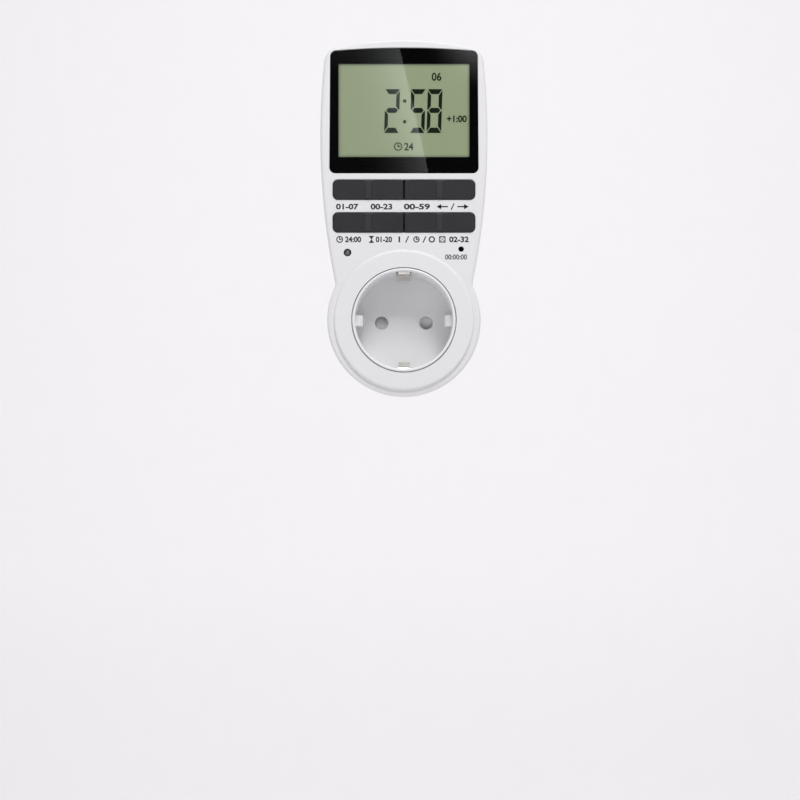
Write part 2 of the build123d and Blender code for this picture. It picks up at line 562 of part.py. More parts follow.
def plug_boss():
    """Round plug insert with its flange, side notches, earth grooves and pin holes."""
    boss = rod(0, 0, BOSS_RADIUS, 0, BACK_Y - WALL)
    boss = fillet(boss.faces().sort_by(Axis.Y)[-1].edges(), BOSS_EDGE_RADIUS)
    flange_front = BACK_Y - WALL - BOSS_FLANGE_THICKNESS
    boss += rod(0, 0, BOSS_RADIUS + BOSS_FLANGE_LIP, BACK_Y - WALL, flange_front)
    boss -= rod(0, 0, BOSS_BORE_RADIUS, -BOSS_END, flange_front)
    outer = BOSS_RADIUS + 1
    for side in (-1, 1):
        low, high = sorted((side * outer, side * (BOSS_RADIUS - NOTCH_DEPTH)))
        boss -= block(low, high, -NOTCH_WIDTH / 2, NOTCH_WIDTH / 2, 0, BACK_Y)
        half = EARTH_GROOVE_WIDTH / 2
        low, high = sorted((side * outer, side * EARTH_GROOVE_RADIUS))
        boss -= block(-half, half, low, high, 0, EARTH_GROOVE_END)
        low, high = sorted((side * outer, side * (BOSS_BORE_RADIUS - 1)))
        boss -= block(-half, half, low, high, EARTH_BAR_Y + 2 * EARTH_STRIP_THICKNESS, EARTH_GROOVE_END)
        boss -= rod(side * PIN_X, 0, PIN_SEAT_RADIUS + PIN_SEAT_CLEARANCE, 0, -BOSS_END)
    return boss - rod(0, EARTH_PIN_Z, EARTH_PIN_HOLE_RADIUS, 0, -BOSS_END)


def plug_pin(side, tail_y):
    """Brass plug pin with a rounded tip, a head behind the boss end and a tail inside."""
    x = side * PIN_X
    shank = rod(x, 0, PIN_RADIUS, PIN_LENGTH, 0)
    shank = fillet(shank.faces().sort_by(Axis.Y)[-1].edges(), PIN_TIP_RADIUS)
    shank += rod(x, 0, PIN_SEAT_RADIUS, 0, -BOSS_END)
    head_y = -BOSS_END - PIN_HEAD_THICKNESS
    return shank + rod(x, 0, PIN_HEAD_RADIUS, -BOSS_END, head_y) + rod(x, 0, PIN_TAIL_RADIUS, head_y, tail_y)


def plug_earth_strip():
    """Bent strip that shows at the top and bottom of the boss, with a pad for the earth sleeve."""
    z = EARTH_GROOVE_RADIUS + EARTH_STRIP_THICKNESS / 2
    points = [(-EARTH_STRIP_START, z), (EARTH_BAR_Y, z), (EARTH_BAR_Y, -z), (-EARTH_STRIP_START, -z)]
    strip = bent_strip(points, EARTH_STRIP_THICKNESS, EARTH_STRIP_THICKNESS, EARTH_STRIP_WIDTH, Plane.YZ)
    bar_back = EARTH_BAR_Y + EARTH_STRIP_THICKNESS / 2
    bar_front = EARTH_BAR_Y - EARTH_STRIP_THICKNESS / 2
    strip += rod(0, EARTH_PIN_Z, EARTH_PAD_RADIUS, bar_back, bar_front)
    strip -= rod(0, EARTH_PIN_Z, EARTH_SLEEVE_RADIUS + PIN_SEAT_CLEARANCE, bar_back, bar_front)
    half = EARTH_STRIP_WIDTH / 2
    strip += block(-half, half, EARTH_LINK_Z, EARTH_LINK_Z + EARTH_STRIP_THICKNESS, EARTH_BAR_Y, BASE_BACK_Y)
    return strip


def earth_sleeve():
    """Round sleeve in the earth strip for the earth pin of a wall socket."""
    front = EARTH_BAR_Y - EARTH_STRIP_THICKNESS / 2
    sleeve = rod(0, EARTH_PIN_Z, EARTH_SLEEVE_RADIUS, -BOSS_END, front)
    return sleeve - rod(0, EARTH_PIN_Z, EARTH_SLEEVE_BORE, -BOSS_END, front)


def eared_disc(radius, back, front):
    """Disc with a screw ear at each side."""
    disc = Circle(radius)
    for x in (-EAR_X, EAR_X):
        disc += Pos(x, 0) * Circle(EAR_RADIUS)
        disc += Pos(x - math.copysign(EAR_RADIUS, x), 0) * Rectangle(2 * EAR_RADIUS, 2 * EAR_RADIUS)
    return slab(disc, back, front)


def ear_holes(back, front):
    """Screw clearance holes through the ears."""
    bore = CARRIER_SCREW_RADIUS + SHANK_CLEARANCE
    return rod(-EAR_X, 0, bore, back, front) + rod(EAR_X, 0, bore, back, front)


def hook_slots(back, front):
    """Space for the earth hooks at twelve and six o'clock."""
    half = SLOT_WIDTH / 2
    inner = HOOK_BOW_Z - HOOK_THICKNESS
    outer = FLANGE_RADIUS + 1
    return block(-half, half, inner, outer, back, front) + block(-half, half, -outer, -inner, back, front)


def socket_collar():
    """White recess wall: rim ring, flange behind the panel, guide ribs and screw ears."""
    rim_y = DISC_Y - RIM_PROUD
    collar = rod(0, 0, RIM_RADIUS, DISC_INNER_Y, rim_y)
    collar = fillet(collar.faces().sort_by(Axis.Y)[0].edges(), RIM_EDGE_RADIUS)
    collar += rod(0, 0, FLANGE_RADIUS, DISC_INNER_Y + FLANGE_THICKNESS, DISC_INNER_Y)
    collar += rod(0, 0, TUBE_RADIUS, FLOOR_FRONT_Y, DISC_INNER_Y)
    collar += eared_disc(TUBE_RADIUS, FLOOR_FRONT_Y, FLOOR_FRONT_Y - EAR_THICKNESS)
    collar -= rod(0, 0, RECESS_RADIUS, FLOOR_FRONT_Y, rim_y)
    inner_edge = [
        e for e in collar.edges().filter_by(GeomType.CIRCLE)
        if abs(e.radius - RECESS_RADIUS) < 0.01 and abs(e.center().Y - rim_y) < 0.01
    ]
    collar = fillet(inner_edge, RIM_EDGE_RADIUS)
    for side in (-1, 1):
        rib = block(RECESS_RADIUS - RIB_HEIGHT, RECESS_RADIUS + TUBE_WALL / 2, -RIB_WIDTH / 2, RIB_WIDTH / 2,
                    FLOOR_FRONT_Y, DISC_Y + RIB_SET_BACK)
        rib = chamfer(rib.faces().sort_by(Axis.Y)[0].edges().sort_by(Axis.X)[0], RIB_CHAMFER)
        collar += rib if side > 0 else mirror(rib, Plane.YZ)
    collar -= hook_slots(FLOOR_FRONT_Y, DISC_Y + SLOT_FRONT_WALL)
    collar -= ear_holes(FLOOR_FRONT_Y, FLOOR_FRONT_Y - EAR_THICKNESS)
    for x, z in mirrored_points([LOWER_PILLAR]):
        collar -= rod(x, z, PILLAR_RADIUS + SHANK_CLEARANCE, FLOOR_FRONT_Y - EAR_THICKNESS, DISC_INNER_Y)
    for x in (-EAR_X, EAR_X):
        collar -= rod(x, 0, EAR_RADIUS + SHANK_CLEARANCE, FLOOR_FRONT_Y - EAR_THICKNESS, DISC_INNER_Y)
    return collar


def socket_floor():
    """Floor of the recess with the two pin holes."""
    floor = eared_disc(TUBE_RADIUS, FLOOR_BACK_Y, FLOOR_FRONT_Y)
    floor -= ear_holes(FLOOR_BACK_Y, FLOOR_FRONT_Y)
    half = SLOT_WIDTH / 2
    notch = HOOK_LEG_Z - HOOK_THICKNESS
    for side in (-1, 1):
        low, high = sorted((side * notch, side * (TUBE_RADIUS + 1)))
        floor -= block(-half, half, low, high, FLOOR_BACK_Y, FLOOR_FRONT_Y)
        floor -= rod(side * PIN_X, 0, HOLE_RADIUS, FLOOR_BACK_Y, FLOOR_FRONT_Y)
    mouths = [
        e for e in floor.edges().filter_by(GeomType.CIRCLE)
        if abs(e.radius - HOLE_RADIUS) < 0.01 and abs(e.center().Y - FLOOR_FRONT_Y) < 0.01
    ]
    return chamfer(mouths, HOLE_CHAMFER)


def earth_spring():
    """One bent strip behind the carrier, hooked over at both ends into the recess."""
    base_y = CARRIER_BACK_Y + HOOK_THICKNESS / 2
    top = [
        (HOOK_END_Y, HOOK_END_Z), (HOOK_BOW_Y, HOOK_BOW_Z), (HOOK_FRONT_Y, HOOK_LIP_Z),
        (HOOK_FRONT_Y, HOOK_LEG_Z), (base_y, HOOK_LEG_Z),
    ]
    bottom = [(y, -z) for y, z in reversed(top)]
    return bent_strip(top + bottom, (2, 0.9, 0.9, 1, 1, 0.9, 0.9, 2), HOOK_THICKNESS, HOOK_WIDTH, Plane.YZ)


def contact_carrier():
    """Block that holds the clips, with the shutter pocket and pivot in its front."""
    carrier = rod(0, 0, CARRIER_RADIUS, CARRIER_BACK_Y, FLOOR_BACK_Y)
    carrier += eared_disc(CARRIER_RADIUS, FLOOR_BACK_Y + EAR_THICKNESS, FLOOR_BACK_Y)
    carrier -= rod(0, 0, SHUTTER_POCKET_RADIUS, POCKET_Y, FLOOR_BACK_Y)
    carrier += rod(0, 0, PIVOT_RADIUS, POCKET_Y, FLOOR_BACK_Y)
    carrier += rod(PEG_X, PEG_Z, PEG_RADIUS, POCKET_Y, FLOOR_BACK_Y)
    half = (CLIP_WIDTH + CLIP_ROOM_MARGIN) / 2
    for side in (-1, 1):
        x = side * PIN_X
        carrier -= block(x - half, x + half, -half, half, CARRIER_BACK_Y, POCKET_Y)
    return carrier - ear_holes(FLOOR_BACK_Y + EAR_THICKNESS, FLOOR_BACK_Y)


def contact_clip(side):
    """Spring clip for one pin, with its strip up to the power board."""
    x = side * PIN_X
    base_y = CARRIER_BACK_Y + CLIP_THICKNESS / 2
    leaf = [
        (CLIP_HALF_SPAN, base_y - CLIP_LENGTH), (CLIP_PINCH, base_y - CLIP_LENGTH * 0.74),
        (CLIP_HALF_SPAN, base_y - CLIP_LENGTH * 0.35), (CLIP_HALF_SPAN, base_y),
    ]
    points = leaf + [(-px, py) for px, py in reversed(leaf)]
    clip = Pos(x, 0, 0) * bent_strip(points, (1, 1, 0.8, 0.8, 1, 1), CLIP_THICKNESS, CLIP_WIDTH, Plane.XY)
    half = STRIP_WIDTH / 2
    return clip + block(x - half, x + half, 0, STRIP_END_Z, BASE_BACK_Y, CARRIER_BACK_Y)


def live_strip():
    """Brass strip from the tail of the live pin to the back of the power board."""
    tail = LIVE_TAIL_Y - STRIP_THICKNESS / 2
    board = POWER_BOARD_BACK + STRIP_THICKNESS / 2
    points = [(tail, -STRIP_WIDTH / 2), (tail, LIVE_STRIP_Z), (board, LIVE_STRIP_Z), (board, STRIP_END_Z)]
    return Pos(-PIN_X, 0, 0) * bent_strip(points, STRIP_THICKNESS, STRIP_THICKNESS, STRIP_WIDTH, Plane.YZ)


def shutter():
    """Two-lobed shutter that turns on the carrier's pivot, with a ramp on each lobe."""
    front = FLOOR_BACK_Y + SHUTTER_GAP
    back = front + SHUTTER_THICKNESS
    shape = SlotCenterToCenter(PIN_SPACING, SHUTTER_WIDTH) + Circle(HUB_RADIUS)
    shape -= Circle(PIVOT_RADIUS + PIVOT_CLEARANCE)
    rotor = slab(shape, back, front)
    half = SHUTTER_WIDTH / 2
    wedge = Plane.YZ.offset(HUB_RADIUS) * Polygon(
        (front, -half * 0.5), (front, half), (front + SHUTTER_RAMP, half), align=None)
    ramp = extrude(wedge, PIN_SPACING)
    return rotor - ramp - Rot(0, 180, 0) * ramp


def shutter_spring():
    """Hairpin leaf from the carrier's peg to the underside of the right lobe."""
    middle = FLOOR_BACK_Y + SHUTTER_GAP + SHUTTER_THICKNESS / 2
    lobe_z = -SHUTTER_WIDTH / 2 - SPRING_THICKNESS
    points = [(PIN_X + 0.5, lobe_z), (PEG_X - 2.4, PEG_Z + 0.4), (PEG_X - 0.9, PEG_Z - 2.0), (PIN_X - 1.0, PEG_Z + 0.9)]
    return bent_strip(points, (1, 1), SPRING_THICKNESS, SPRING_WIDTH, Plane.XZ.offset(-middle))


def display_lens():
    """Clear window, a little below the front face."""
    return slab(window(LENS_GAP), LENS_BACK_Y, LENS_FRONT_Y)


def display_mask():
    """Black border behind the lens."""
    return slab(window(LENS_GAP) - view_opening(), MASK_BACK_Y, LENS_BACK_Y)


def display_glass():
    """Liquid crystal glass behind the mask."""
    return glass_block(0, GLASS_BACK_Y, MASK_BACK_Y)


def display_holder():
    """Plastic holder between the glass and the display board."""
    margin = GLASS_CLEARANCE + HOLDER_WALL
    holder = glass_block(margin, DISPLAY_BOARD_FRONT, LEDGE_BACK_Y)
    holder -= glass_block(GLASS_CLEARANCE, GLASS_BACK_Y, LEDGE_BACK_Y)
    holder -= glass_block(-HOLDER_WALL, DISPLAY_BOARD_FRONT, GLASS_BACK_Y)
    for x, z in mirrored_points([UPPER_PILLAR]):
        holder -= rod(x, z, PILLAR_RADIUS + SHANK_CLEARANCE, DISPLAY_BOARD_FRONT, LEDGE_BACK_Y)
    return holder


def display_diffuser():
    """Pale plate behind the glass."""
    back = GLASS_BACK_Y + DIFFUSER_THICKNESS
    half = GLASS_HALF_WIDTH - HOLDER_WALL
    return block(-half, half, GLASS_BOTTOM_Z + DIFFUSER_INSET, GLASS_TOP_Z - DIFFUSER_INSET, back, GLASS_BACK_Y)


def contact_strips():
    """Rubber strips that join the glass to the display board, above and below the diffuser."""
    half = GLASS_HALF_WIDTH - CONTACT_STRIP_INSET
    low = GLASS_BOTTOM_Z + HOLDER_WALL
    high = GLASS_TOP_Z - HOLDER_WALL
    strips = [
        block(-half, half, low, low + CONTACT_STRIP_HEIGHT, DISPLAY_BOARD_FRONT, GLASS_BACK_Y),
        block(-half, half, high - CONTACT_STRIP_HEIGHT, high, DISPLAY_BOARD_FRONT, GLASS_BACK_Y),
    ]
    return Compound(children=[s.solid() for s in strips])


def key_cap(side, row_z):
    """Hollow rocker cap with a middle band, two finger dishes, two stems and two trunnions."""
    cap = slab(key_outline(), KEY_SKIRT_Y, KEY_FACE_Y)
    cap = fillet(cap.faces().sort_by(Axis.Y)[0].edges(), KEY_EDGE_RADIUS)
    for x in (-PRESS_OFFSET, PRESS_OFFSET):
        dish_y = KEY_FACE_Y + KEY_DISH_DEPTH - KEY_DISH_RADIUS
        cap -= Pos(x, dish_y, 0) * Cylinder(KEY_DISH_RADIUS, 2 * KEY_HEIGHT)
    ridge = Pos(0, 0) * Rectangle(KEY_BAND_WIDTH, KEY_HEIGHT - 2 * KEY_EDGE_RADIUS)
    ridge = slab(ridge, KEY_FACE_Y + KEY_TOP / 2, KEY_FACE_Y - KEY_BAND_HEIGHT)
    cap += fillet(ridge.faces().sort_by(Axis.Y)[0].edges(), KEY_BAND_HEIGHT * 0.6)
    cap -= slab(key_outline(-KEY_WALL), KEY_SKIRT_Y, KEY_FACE_Y + KEY_TOP)
    inside = KEY_FACE_Y + KEY_TOP
    for x in (-PRESS_OFFSET, PRESS_OFFSET):
        cap += rod(x, 0, STEM_RADIUS, DOME_TOP_Y - DOME_GAP, inside)
    half = TRUNNION_RADIUS + KEY_WALL
    cap += block(-half, half, -KEY_HEIGHT / 2 + KEY_WALL / 2, KEY_HEIGHT / 2 - KEY_WALL / 2,
                 KEY_SKIRT_Y, inside)
    cap += Pos(0, TRUNNION_Y, 0) * Cylinder(TRUNNION_RADIUS, KEY_HEIGHT + 2 * TRUNNION_LENGTH)
    if side < 0:
        cap = mirror(cap, Plane.YZ)
    return Pos(side * KEY_CENTRE_X, 0, row_z) * cap


def keypad_mat():
    """Silicone sheet on the display board with a dome behind every stem."""
    half = ROW_HALF_WIDTH - MAT_MARGIN / 2
    low = min(ROW_Z) - KEY_HEIGHT / 2 - MAT_MARGIN
    high = max(ROW_Z) + KEY_HEIGHT / 2 + 0.1
    mat = block(-half, half, low, high, DISPLAY_BOARD_FRONT, MAT_FRONT_Y)
    for row_z in ROW_Z:
        for x in (-KEY_CENTRE_X, KEY_CENTRE_X):
            for press in (-PRESS_OFFSET, PRESS_OFFSET):
                dome = Cone(DOME_BASE_RADIUS, DOME_TOP_RADIUS, DOME_HEIGHT)
                mat += Pos(x + press, MAT_FRONT_Y - DOME_HEIGHT / 2, row_z) * Rot(90, 0, 0) * dome
    for x, z in mirrored_points(STANDOFF_POINTS):
        mat -= rod(x, z, STANDOFF_RADIUS + SHANK_CLEARANCE, DISPLAY_BOARD_FRONT, MAT_FRONT_Y)
    return mat


def display_board():
    """Green board behind the display and keys."""
    shape = band(outline(WALL + BOARD_EDGE_GAP), DISPLAY_BOARD_BOTTOM_Z, BOARD_TOP_Z)
    for x, z in mirrored_points([UPPER_PILLAR]):
        shape -= Pos(x, z) * Circle(PILLAR_RADIUS + BOARD_EDGE_GAP)
    for x, z in mirrored_points(STANDOFF_POINTS):
        shape -= Pos(x, z) * Circle(BOARD_SCREW_RADIUS + SHANK_CLEARANCE)
    return slab(shape, DISPLAY_BOARD_BACK, DISPLAY_BOARD_FRONT)


def screws(points, seat_y, head_radius, head, radius, tip_y):
    """Group of screws that enter towards the front, their heads behind the seat."""
    group = []
    for x, z in points:
        screw = rod(x, z, head_radius, seat_y + head, seat_y)
        screw = fillet(screw.faces().sort_by(Axis.Y)[-1].edges(), head * 0.3)
        group.append((screw + rod(x, z, radius, seat_y, tip_y)).solid())
    return Compound(children=group)


def power_board_screws():
    """Screws that hold the power board to the rear cover, their heads in front."""
    group = []
    for x, z in mirrored_points(POWER_POSTS):
        seat = POWER_BOARD_FRONT
        screw = rod(x, z, POWER_SCREW_HEAD_RADIUS, seat, seat - POWER_SCREW_HEAD)
        screw += rod(x, z, POWER_SCREW_RADIUS, BACK_Y - WALL / 2 - POWER_SCREW_TIP_ROOM, seat)
        group.append(screw.solid())
    return Compound(children=group)


def indicator_light():
    """Round light with a domed end, a flange and two legs on the display board."""
    tip = FACE_Y + LIGHT_SET_BACK
    base = tip + LIGHT_BODY_LENGTH
    light = rod(LIGHT_X, LIGHT_Z, LIGHT_RADIUS, base, tip)
    light = fillet(light.faces().sort_by(Axis.Y)[0].edges(), LIGHT_RADIUS * 0.8)
    light += rod(LIGHT_X, LIGHT_Z, LIGHT_RADIUS + LIGHT_FLANGE_LIP, base, base - 1)
    for x in (-0.8, 0.8):
        light += rod(LIGHT_X + x, LIGHT_Z, LEAD_RADIUS, DISPLAY_BOARD_FRONT, base)
    return light


def reset_switch():
    """Body of the reset switch with the bore for its plunger."""
    half = RESET_SWITCH_SIZE / 2
    top = DISPLAY_BOARD_FRONT - RESET_SWITCH_HEIGHT
    body = block(RESET_X - half, RESET_X + half, RESET_Z - half, RESET_Z + half, DISPLAY_BOARD_FRONT, top)
    return body - rod(RESET_X, RESET_Z, RESET_RADIUS + RESET_BORE_CLEARANCE, top + RESET_BORE_DEPTH, top)


def reset_plunger():
    """Thin plunger in the switch, reached through the pinhole."""
    top = DISPLAY_BOARD_FRONT - RESET_SWITCH_HEIGHT
    tip = FACE_Y + RESET_SET_BACK
    plunger = rod(RESET_X, RESET_Z, RESET_RADIUS, top + RESET_INSERTION, tip)
    return fillet(plunger.faces().sort_by(Axis.Y)[0].edges(), RESET_RADIUS * 0.3)


def power_board():
    """Board in the rear cover that carries the relay and the power parts."""
    shape = band(outline(WALL + BOARD_EDGE_GAP), POWER_BOARD_BOTTOM_Z, BOARD_TOP_Z)
    for x, z in mirrored_points([UPPER_PILLAR]):
        shape -= Pos(x, z) * Circle(WELL_POST_RADIUS + BOARD_EDGE_GAP)
    for x, z in mirrored_points(POWER_POSTS):
        shape -= Pos(x, z) * Circle(POWER_SCREW_RADIUS + SHANK_CLEARANCE)
    return slab(shape, POWER_BOARD_BACK, POWER_BOARD_FRONT)


def board_box(size, at, edge):
    """Boxed component on the front of the power board, with rounded front edges."""
    width, height, depth = size
    x, z = at
    body = block(x - width / 2, x + width / 2, z - depth / 2, z + depth / 2,
                 POWER_BOARD_FRONT, POWER_BOARD_FRONT - height)
    return fillet(body.faces().sort_by(Axis.Y)[0].edges(), edge)


def varistor():
    """Disc varistor standing on two leads."""
    x, z = VARISTOR_AT
    y = POWER_BOARD_FRONT - LEAD_HEIGHT - VARISTOR_RADIUS
    disc = Pos(x, y, z) * Cylinder(VARISTOR_RADIUS, VARISTOR_THICKNESS)
    disc = fillet(disc.edges().filter_by(GeomType.CIRCLE), VARISTOR_THICKNESS * 0.3)
    for offset in (-VARISTOR_RADIUS * 0.45, VARISTOR_RADIUS * 0.45):
        disc += rod(x + offset, z, LEAD_RADIUS, POWER_BOARD_FRONT, y)
    return disc


def electrolytic_capacitor():
    """Round can standing on the power board, with its crimp groove."""
    x, z = ELECTROLYTIC_AT
    front = POWER_BOARD_FRONT - ELECTROLYTIC_HEIGHT
    can = rod(x, z, ELECTROLYTIC_RADIUS, POWER_BOARD_FRONT, front)
    can = fillet(can.faces().sort_by(Axis.Y)[0].edges(), ELECTROLYTIC_RADIUS * 0.15)
    ring = Circle(ELECTROLYTIC_RADIUS + 1) - Circle(ELECTROLYTIC_RADIUS * 0.93)
    return can - slab(Pos(x, z) * ring, POWER_BOARD_FRONT - 1.2, POWER_BOARD_FRONT - 2.0)


def resistors_and_diodes():
    """Row of small parts lying on the power board."""
    y = POWER_BOARD_FRONT - RESISTOR_RADIUS
    parts = []
    for z in RESISTOR_ROWS:
        body = Pos(RESISTOR_X, y, z) * Rot(0, 90, 0) * Cylinder(RESISTOR_RADIUS, RESISTOR_LENGTH)
        parts.append(fillet(body.edges().filter_by(GeomType.CIRCLE), RESISTOR_RADIUS * 0.4).solid())
    return Compound(children=parts)


def backup_cell():
    """Rechargeable button cell behind the display board."""
    x, z = CELL_AT
    back = DISPLAY_BOARD_BACK + TAB_THICKNESS
    cell = rod(x, z, CELL_RADIUS, back + CELL_THICKNESS, back)
    return fillet(cell.faces().sort_by(Axis.Y)[-1].edges(), CELL_THICKNESS * 0.12)


def cell_tabs():
    """Two welded tabs: one under the cell, one over it and down to the board."""
    x, z = CELL_AT
    half = TAB_WIDTH / 2
    board = DISPLAY_BOARD_BACK
    under = block(x - half, x + half, z - CELL_RADIUS - 2, z + CELL_RADIUS * 0.5, board + TAB_THICKNESS, board)
    over_y = board + TAB_THICKNESS * 1.5 + CELL_THICKNESS
    out = CELL_RADIUS + 1
    points = [(over_y, 0), (over_y, out), (board, out)]
    over = bent_strip(points, TAB_THICKNESS, TAB_THICKNESS, TAB_WIDTH, Plane.YZ)
    return Compound(children=[under.solid(), (Pos(x, 0, z) * over).solid()])


def controller_chip():
    """Black epoxy cap over the controller, behind the display board."""
    x, z = CHIP_AT
    radius = (CHIP_RADIUS**2 + CHIP_HEIGHT**2) / (2 * CHIP_HEIGHT)
    ball = Pos(x, DISPLAY_BOARD_BACK + CHIP_HEIGHT - radius, z) * Sphere(radius)
    return ball & rod(x, z, CHIP_RADIUS * 1.1, DISPLAY_BOARD_BACK + CHIP_HEIGHT * 1.1, DISPLAY_BOARD_BACK)


def quartz_crystal():
    """Small metal can lying behind the display board."""
    x, z = CRYSTAL_AT
    y = DISPLAY_BOARD_BACK + CRYSTAL_RADIUS
    return Pos(x, y, z) * Rot(0, 90, 0) * Cylinder(CRYSTAL_RADIUS, CRYSTAL_LENGTH)


def ribbon_cable():
    """Flat cable between the two boards."""
    middle = (DISPLAY_BOARD_BACK + POWER_BOARD_FRONT) / 2
    high = RIBBON_FRONT_Z + 2 * RIBBON_STEP
    points = [
        (DISPLAY_BOARD_BACK, RIBBON_FRONT_Z), (middle - RIBBON_STEP, RIBBON_FRONT_Z),
        (middle + RIBBON_STEP, high), (POWER_BOARD_FRONT, high),
    ]
    return bent_strip(points, RIBBON_STEP, RIBBON_THICKNESS, RIBBON_WIDTH, Plane.YZ)


def build():
    """Every sub-part, by name."""
    parts = {
        "front_cover": front_cover(),
        "rear_cover": rear_cover(),
        "plug_boss": plug_boss(),
        "display_lens": display_lens(),
        "display_mask": display_mask(),
        "display_glass": display_glass(),
        "display_holder": display_holder(),
        "display_diffuser": display_diffuser(),
        "contact_strips": contact_strips(),
        "display_board": display_board(),
        "keypad_mat": keypad_mat(),
        "indicator_light": indicator_light(),
        "reset_switch": reset_switch(),
        "reset_plunger": reset_plunger(),
        "controller_chip": controller_chip(),
        "quartz_crystal": quartz_crystal(),
        "backup_cell": backup_cell(),
        "cell_tabs": cell_tabs(),
        "ribbon_cable": ribbon_cable(),
        "power_board": power_board(),
        "relay": board_box(RELAY_SIZE, RELAY_AT, 0.6),
        "film_capacitor": board_box(FILM_CAPACITOR_SIZE, FILM_CAPACITOR_AT, 0.8),
        "varistor": varistor(),
        "electrolytic_capacitor": electrolytic_capacitor(),
        "resistors_and_diodes": resistors_and_diodes(),
        "socket_collar": socket_collar(),
        "socket_floor": socket_floor(),
        "contact_carrier": contact_carrier(),
        "live_clip": contact_clip(-1),
        "neutral_clip": contact_clip(1),
        "live_strip": live_strip(),
        "earth_spring": earth_spring(),
        "shutter": shutter(),
        "shutter_spring": shutter_spring(),
        "plug_pin_left": plug_pin(-1, LIVE_TAIL_Y),
        "plug_pin_right": plug_pin(1, BASE_BACK_Y),
        "plug_earth_strip": plug_earth_strip(),
        "earth_sleeve": earth_sleeve(),
    }
    for row, name in enumerate(("upper", "lower")):
        parts["key_" + name + "_left"] = key_cap(-1, ROW_Z[row])
        parts["key_" + name + "_right"] = key_cap(1, ROW_Z[row])
    parts["housing_screws"] = screws(
        mirrored_points(PILLAR_POINTS), WELL_FLOOR_Y, HOUSING_SCREW_HEAD_RADIUS,
        HOUSING_SCREW_HEAD, HOUSING_SCREW_RADIUS, PILLAR_TOP_Y + HOUSING_SCREW_TIP_ROOM)
    parts["carrier_screws"] = screws(
        [(-EAR_X, 0), (EAR_X, 0)], FLOOR_BACK_Y + EAR_THICKNESS, CARRIER_SCREW_HEAD_RADIUS,
        CARRIER_SCREW_HEAD, CARRIER_SCREW_RADIUS, PILLAR_TOP_Y + CARRIER_SCREW_TIP_ROOM)
    parts["display_board_screws"] = screws(
        mirrored_points(STANDOFF_POINTS), DISPLAY_BOARD_BACK, BOARD_SCREW_HEAD_RADIUS,
        BOARD_SCREW_HEAD, BOARD_SCREW_RADIUS, STANDOFF_BORE_Y + BOARD_SCREW_TIP_ROOM)
    parts["power_board_screws"] = power_board_screws()
    return parts


os.makedirs("parts", exist_ok=True)
for part_name, part_shape in build().items():
    export_step(part_shape, "parts/" + part_name + ".step")
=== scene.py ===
import json
import math

import bmesh
import bpy
from mathutils import Matrix, Vector

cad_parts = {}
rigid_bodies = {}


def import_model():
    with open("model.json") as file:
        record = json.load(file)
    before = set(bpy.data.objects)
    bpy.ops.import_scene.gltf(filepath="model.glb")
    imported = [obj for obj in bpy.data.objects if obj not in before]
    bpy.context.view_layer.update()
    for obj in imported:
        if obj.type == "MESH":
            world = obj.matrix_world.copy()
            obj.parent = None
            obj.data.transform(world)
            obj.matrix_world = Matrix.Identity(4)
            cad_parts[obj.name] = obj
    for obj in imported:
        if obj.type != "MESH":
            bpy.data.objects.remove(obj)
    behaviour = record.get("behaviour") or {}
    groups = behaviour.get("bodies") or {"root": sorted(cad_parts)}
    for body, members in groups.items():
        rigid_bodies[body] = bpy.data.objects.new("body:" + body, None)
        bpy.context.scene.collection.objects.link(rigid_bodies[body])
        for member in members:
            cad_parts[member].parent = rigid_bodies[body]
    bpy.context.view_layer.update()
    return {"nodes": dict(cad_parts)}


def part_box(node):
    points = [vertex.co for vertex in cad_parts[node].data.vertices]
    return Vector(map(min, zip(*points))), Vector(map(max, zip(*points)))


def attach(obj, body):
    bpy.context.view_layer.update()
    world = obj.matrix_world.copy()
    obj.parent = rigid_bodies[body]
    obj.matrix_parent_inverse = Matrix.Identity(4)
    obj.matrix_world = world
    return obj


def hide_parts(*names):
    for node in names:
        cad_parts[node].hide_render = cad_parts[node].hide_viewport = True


for leftover in list(bpy.data.objects):
    bpy.data.objects.remove(leftover)
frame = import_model()


# Room. A pale floor runs up into a pale wall, both far off, because the timer hangs on a wall
# socket by its pins. Four soft lamps stand round it. Behind the camera a dark card keeps the window
# black, and a brighter card with a slanted edge lays a faint gloss over the window's left part.
def alone(piece):
    """Makes a piece the only selected and active one."""
    bpy.ops.object.select_all(action="DESELECT")
    piece.select_set(True)
    bpy.context.view_layer.objects.active = piece


def pick(piece, kind, test):
    """Opens a piece for editing with those faces or edges selected whose middle passes the test."""
    alone(piece)
    bpy.ops.object.mode_set(mode="EDIT")
    bpy.ops.mesh.select_mode(type=kind)
    bpy.ops.mesh.select_all(action="DESELECT")
    shape = bmesh.from_edit_mesh(piece.data)
    for part in shape.faces if kind == "FACE" else shape.edges:
        if test(sum((v.co for v in part.verts), Vector()) / len(part.verts)):
            part.select_set(True)
    bmesh.update_edit_mesh(piece.data)


def close_edit():
    """Goes back from edit mode to object mode."""
    bpy.ops.object.mode_set(mode="OBJECT")


def settle(piece):
    """Puts a piece's place, turn and scale into its mesh."""
    alone(piece)
    bpy.ops.object.transform_apply(location=True, rotation=True, scale=True)


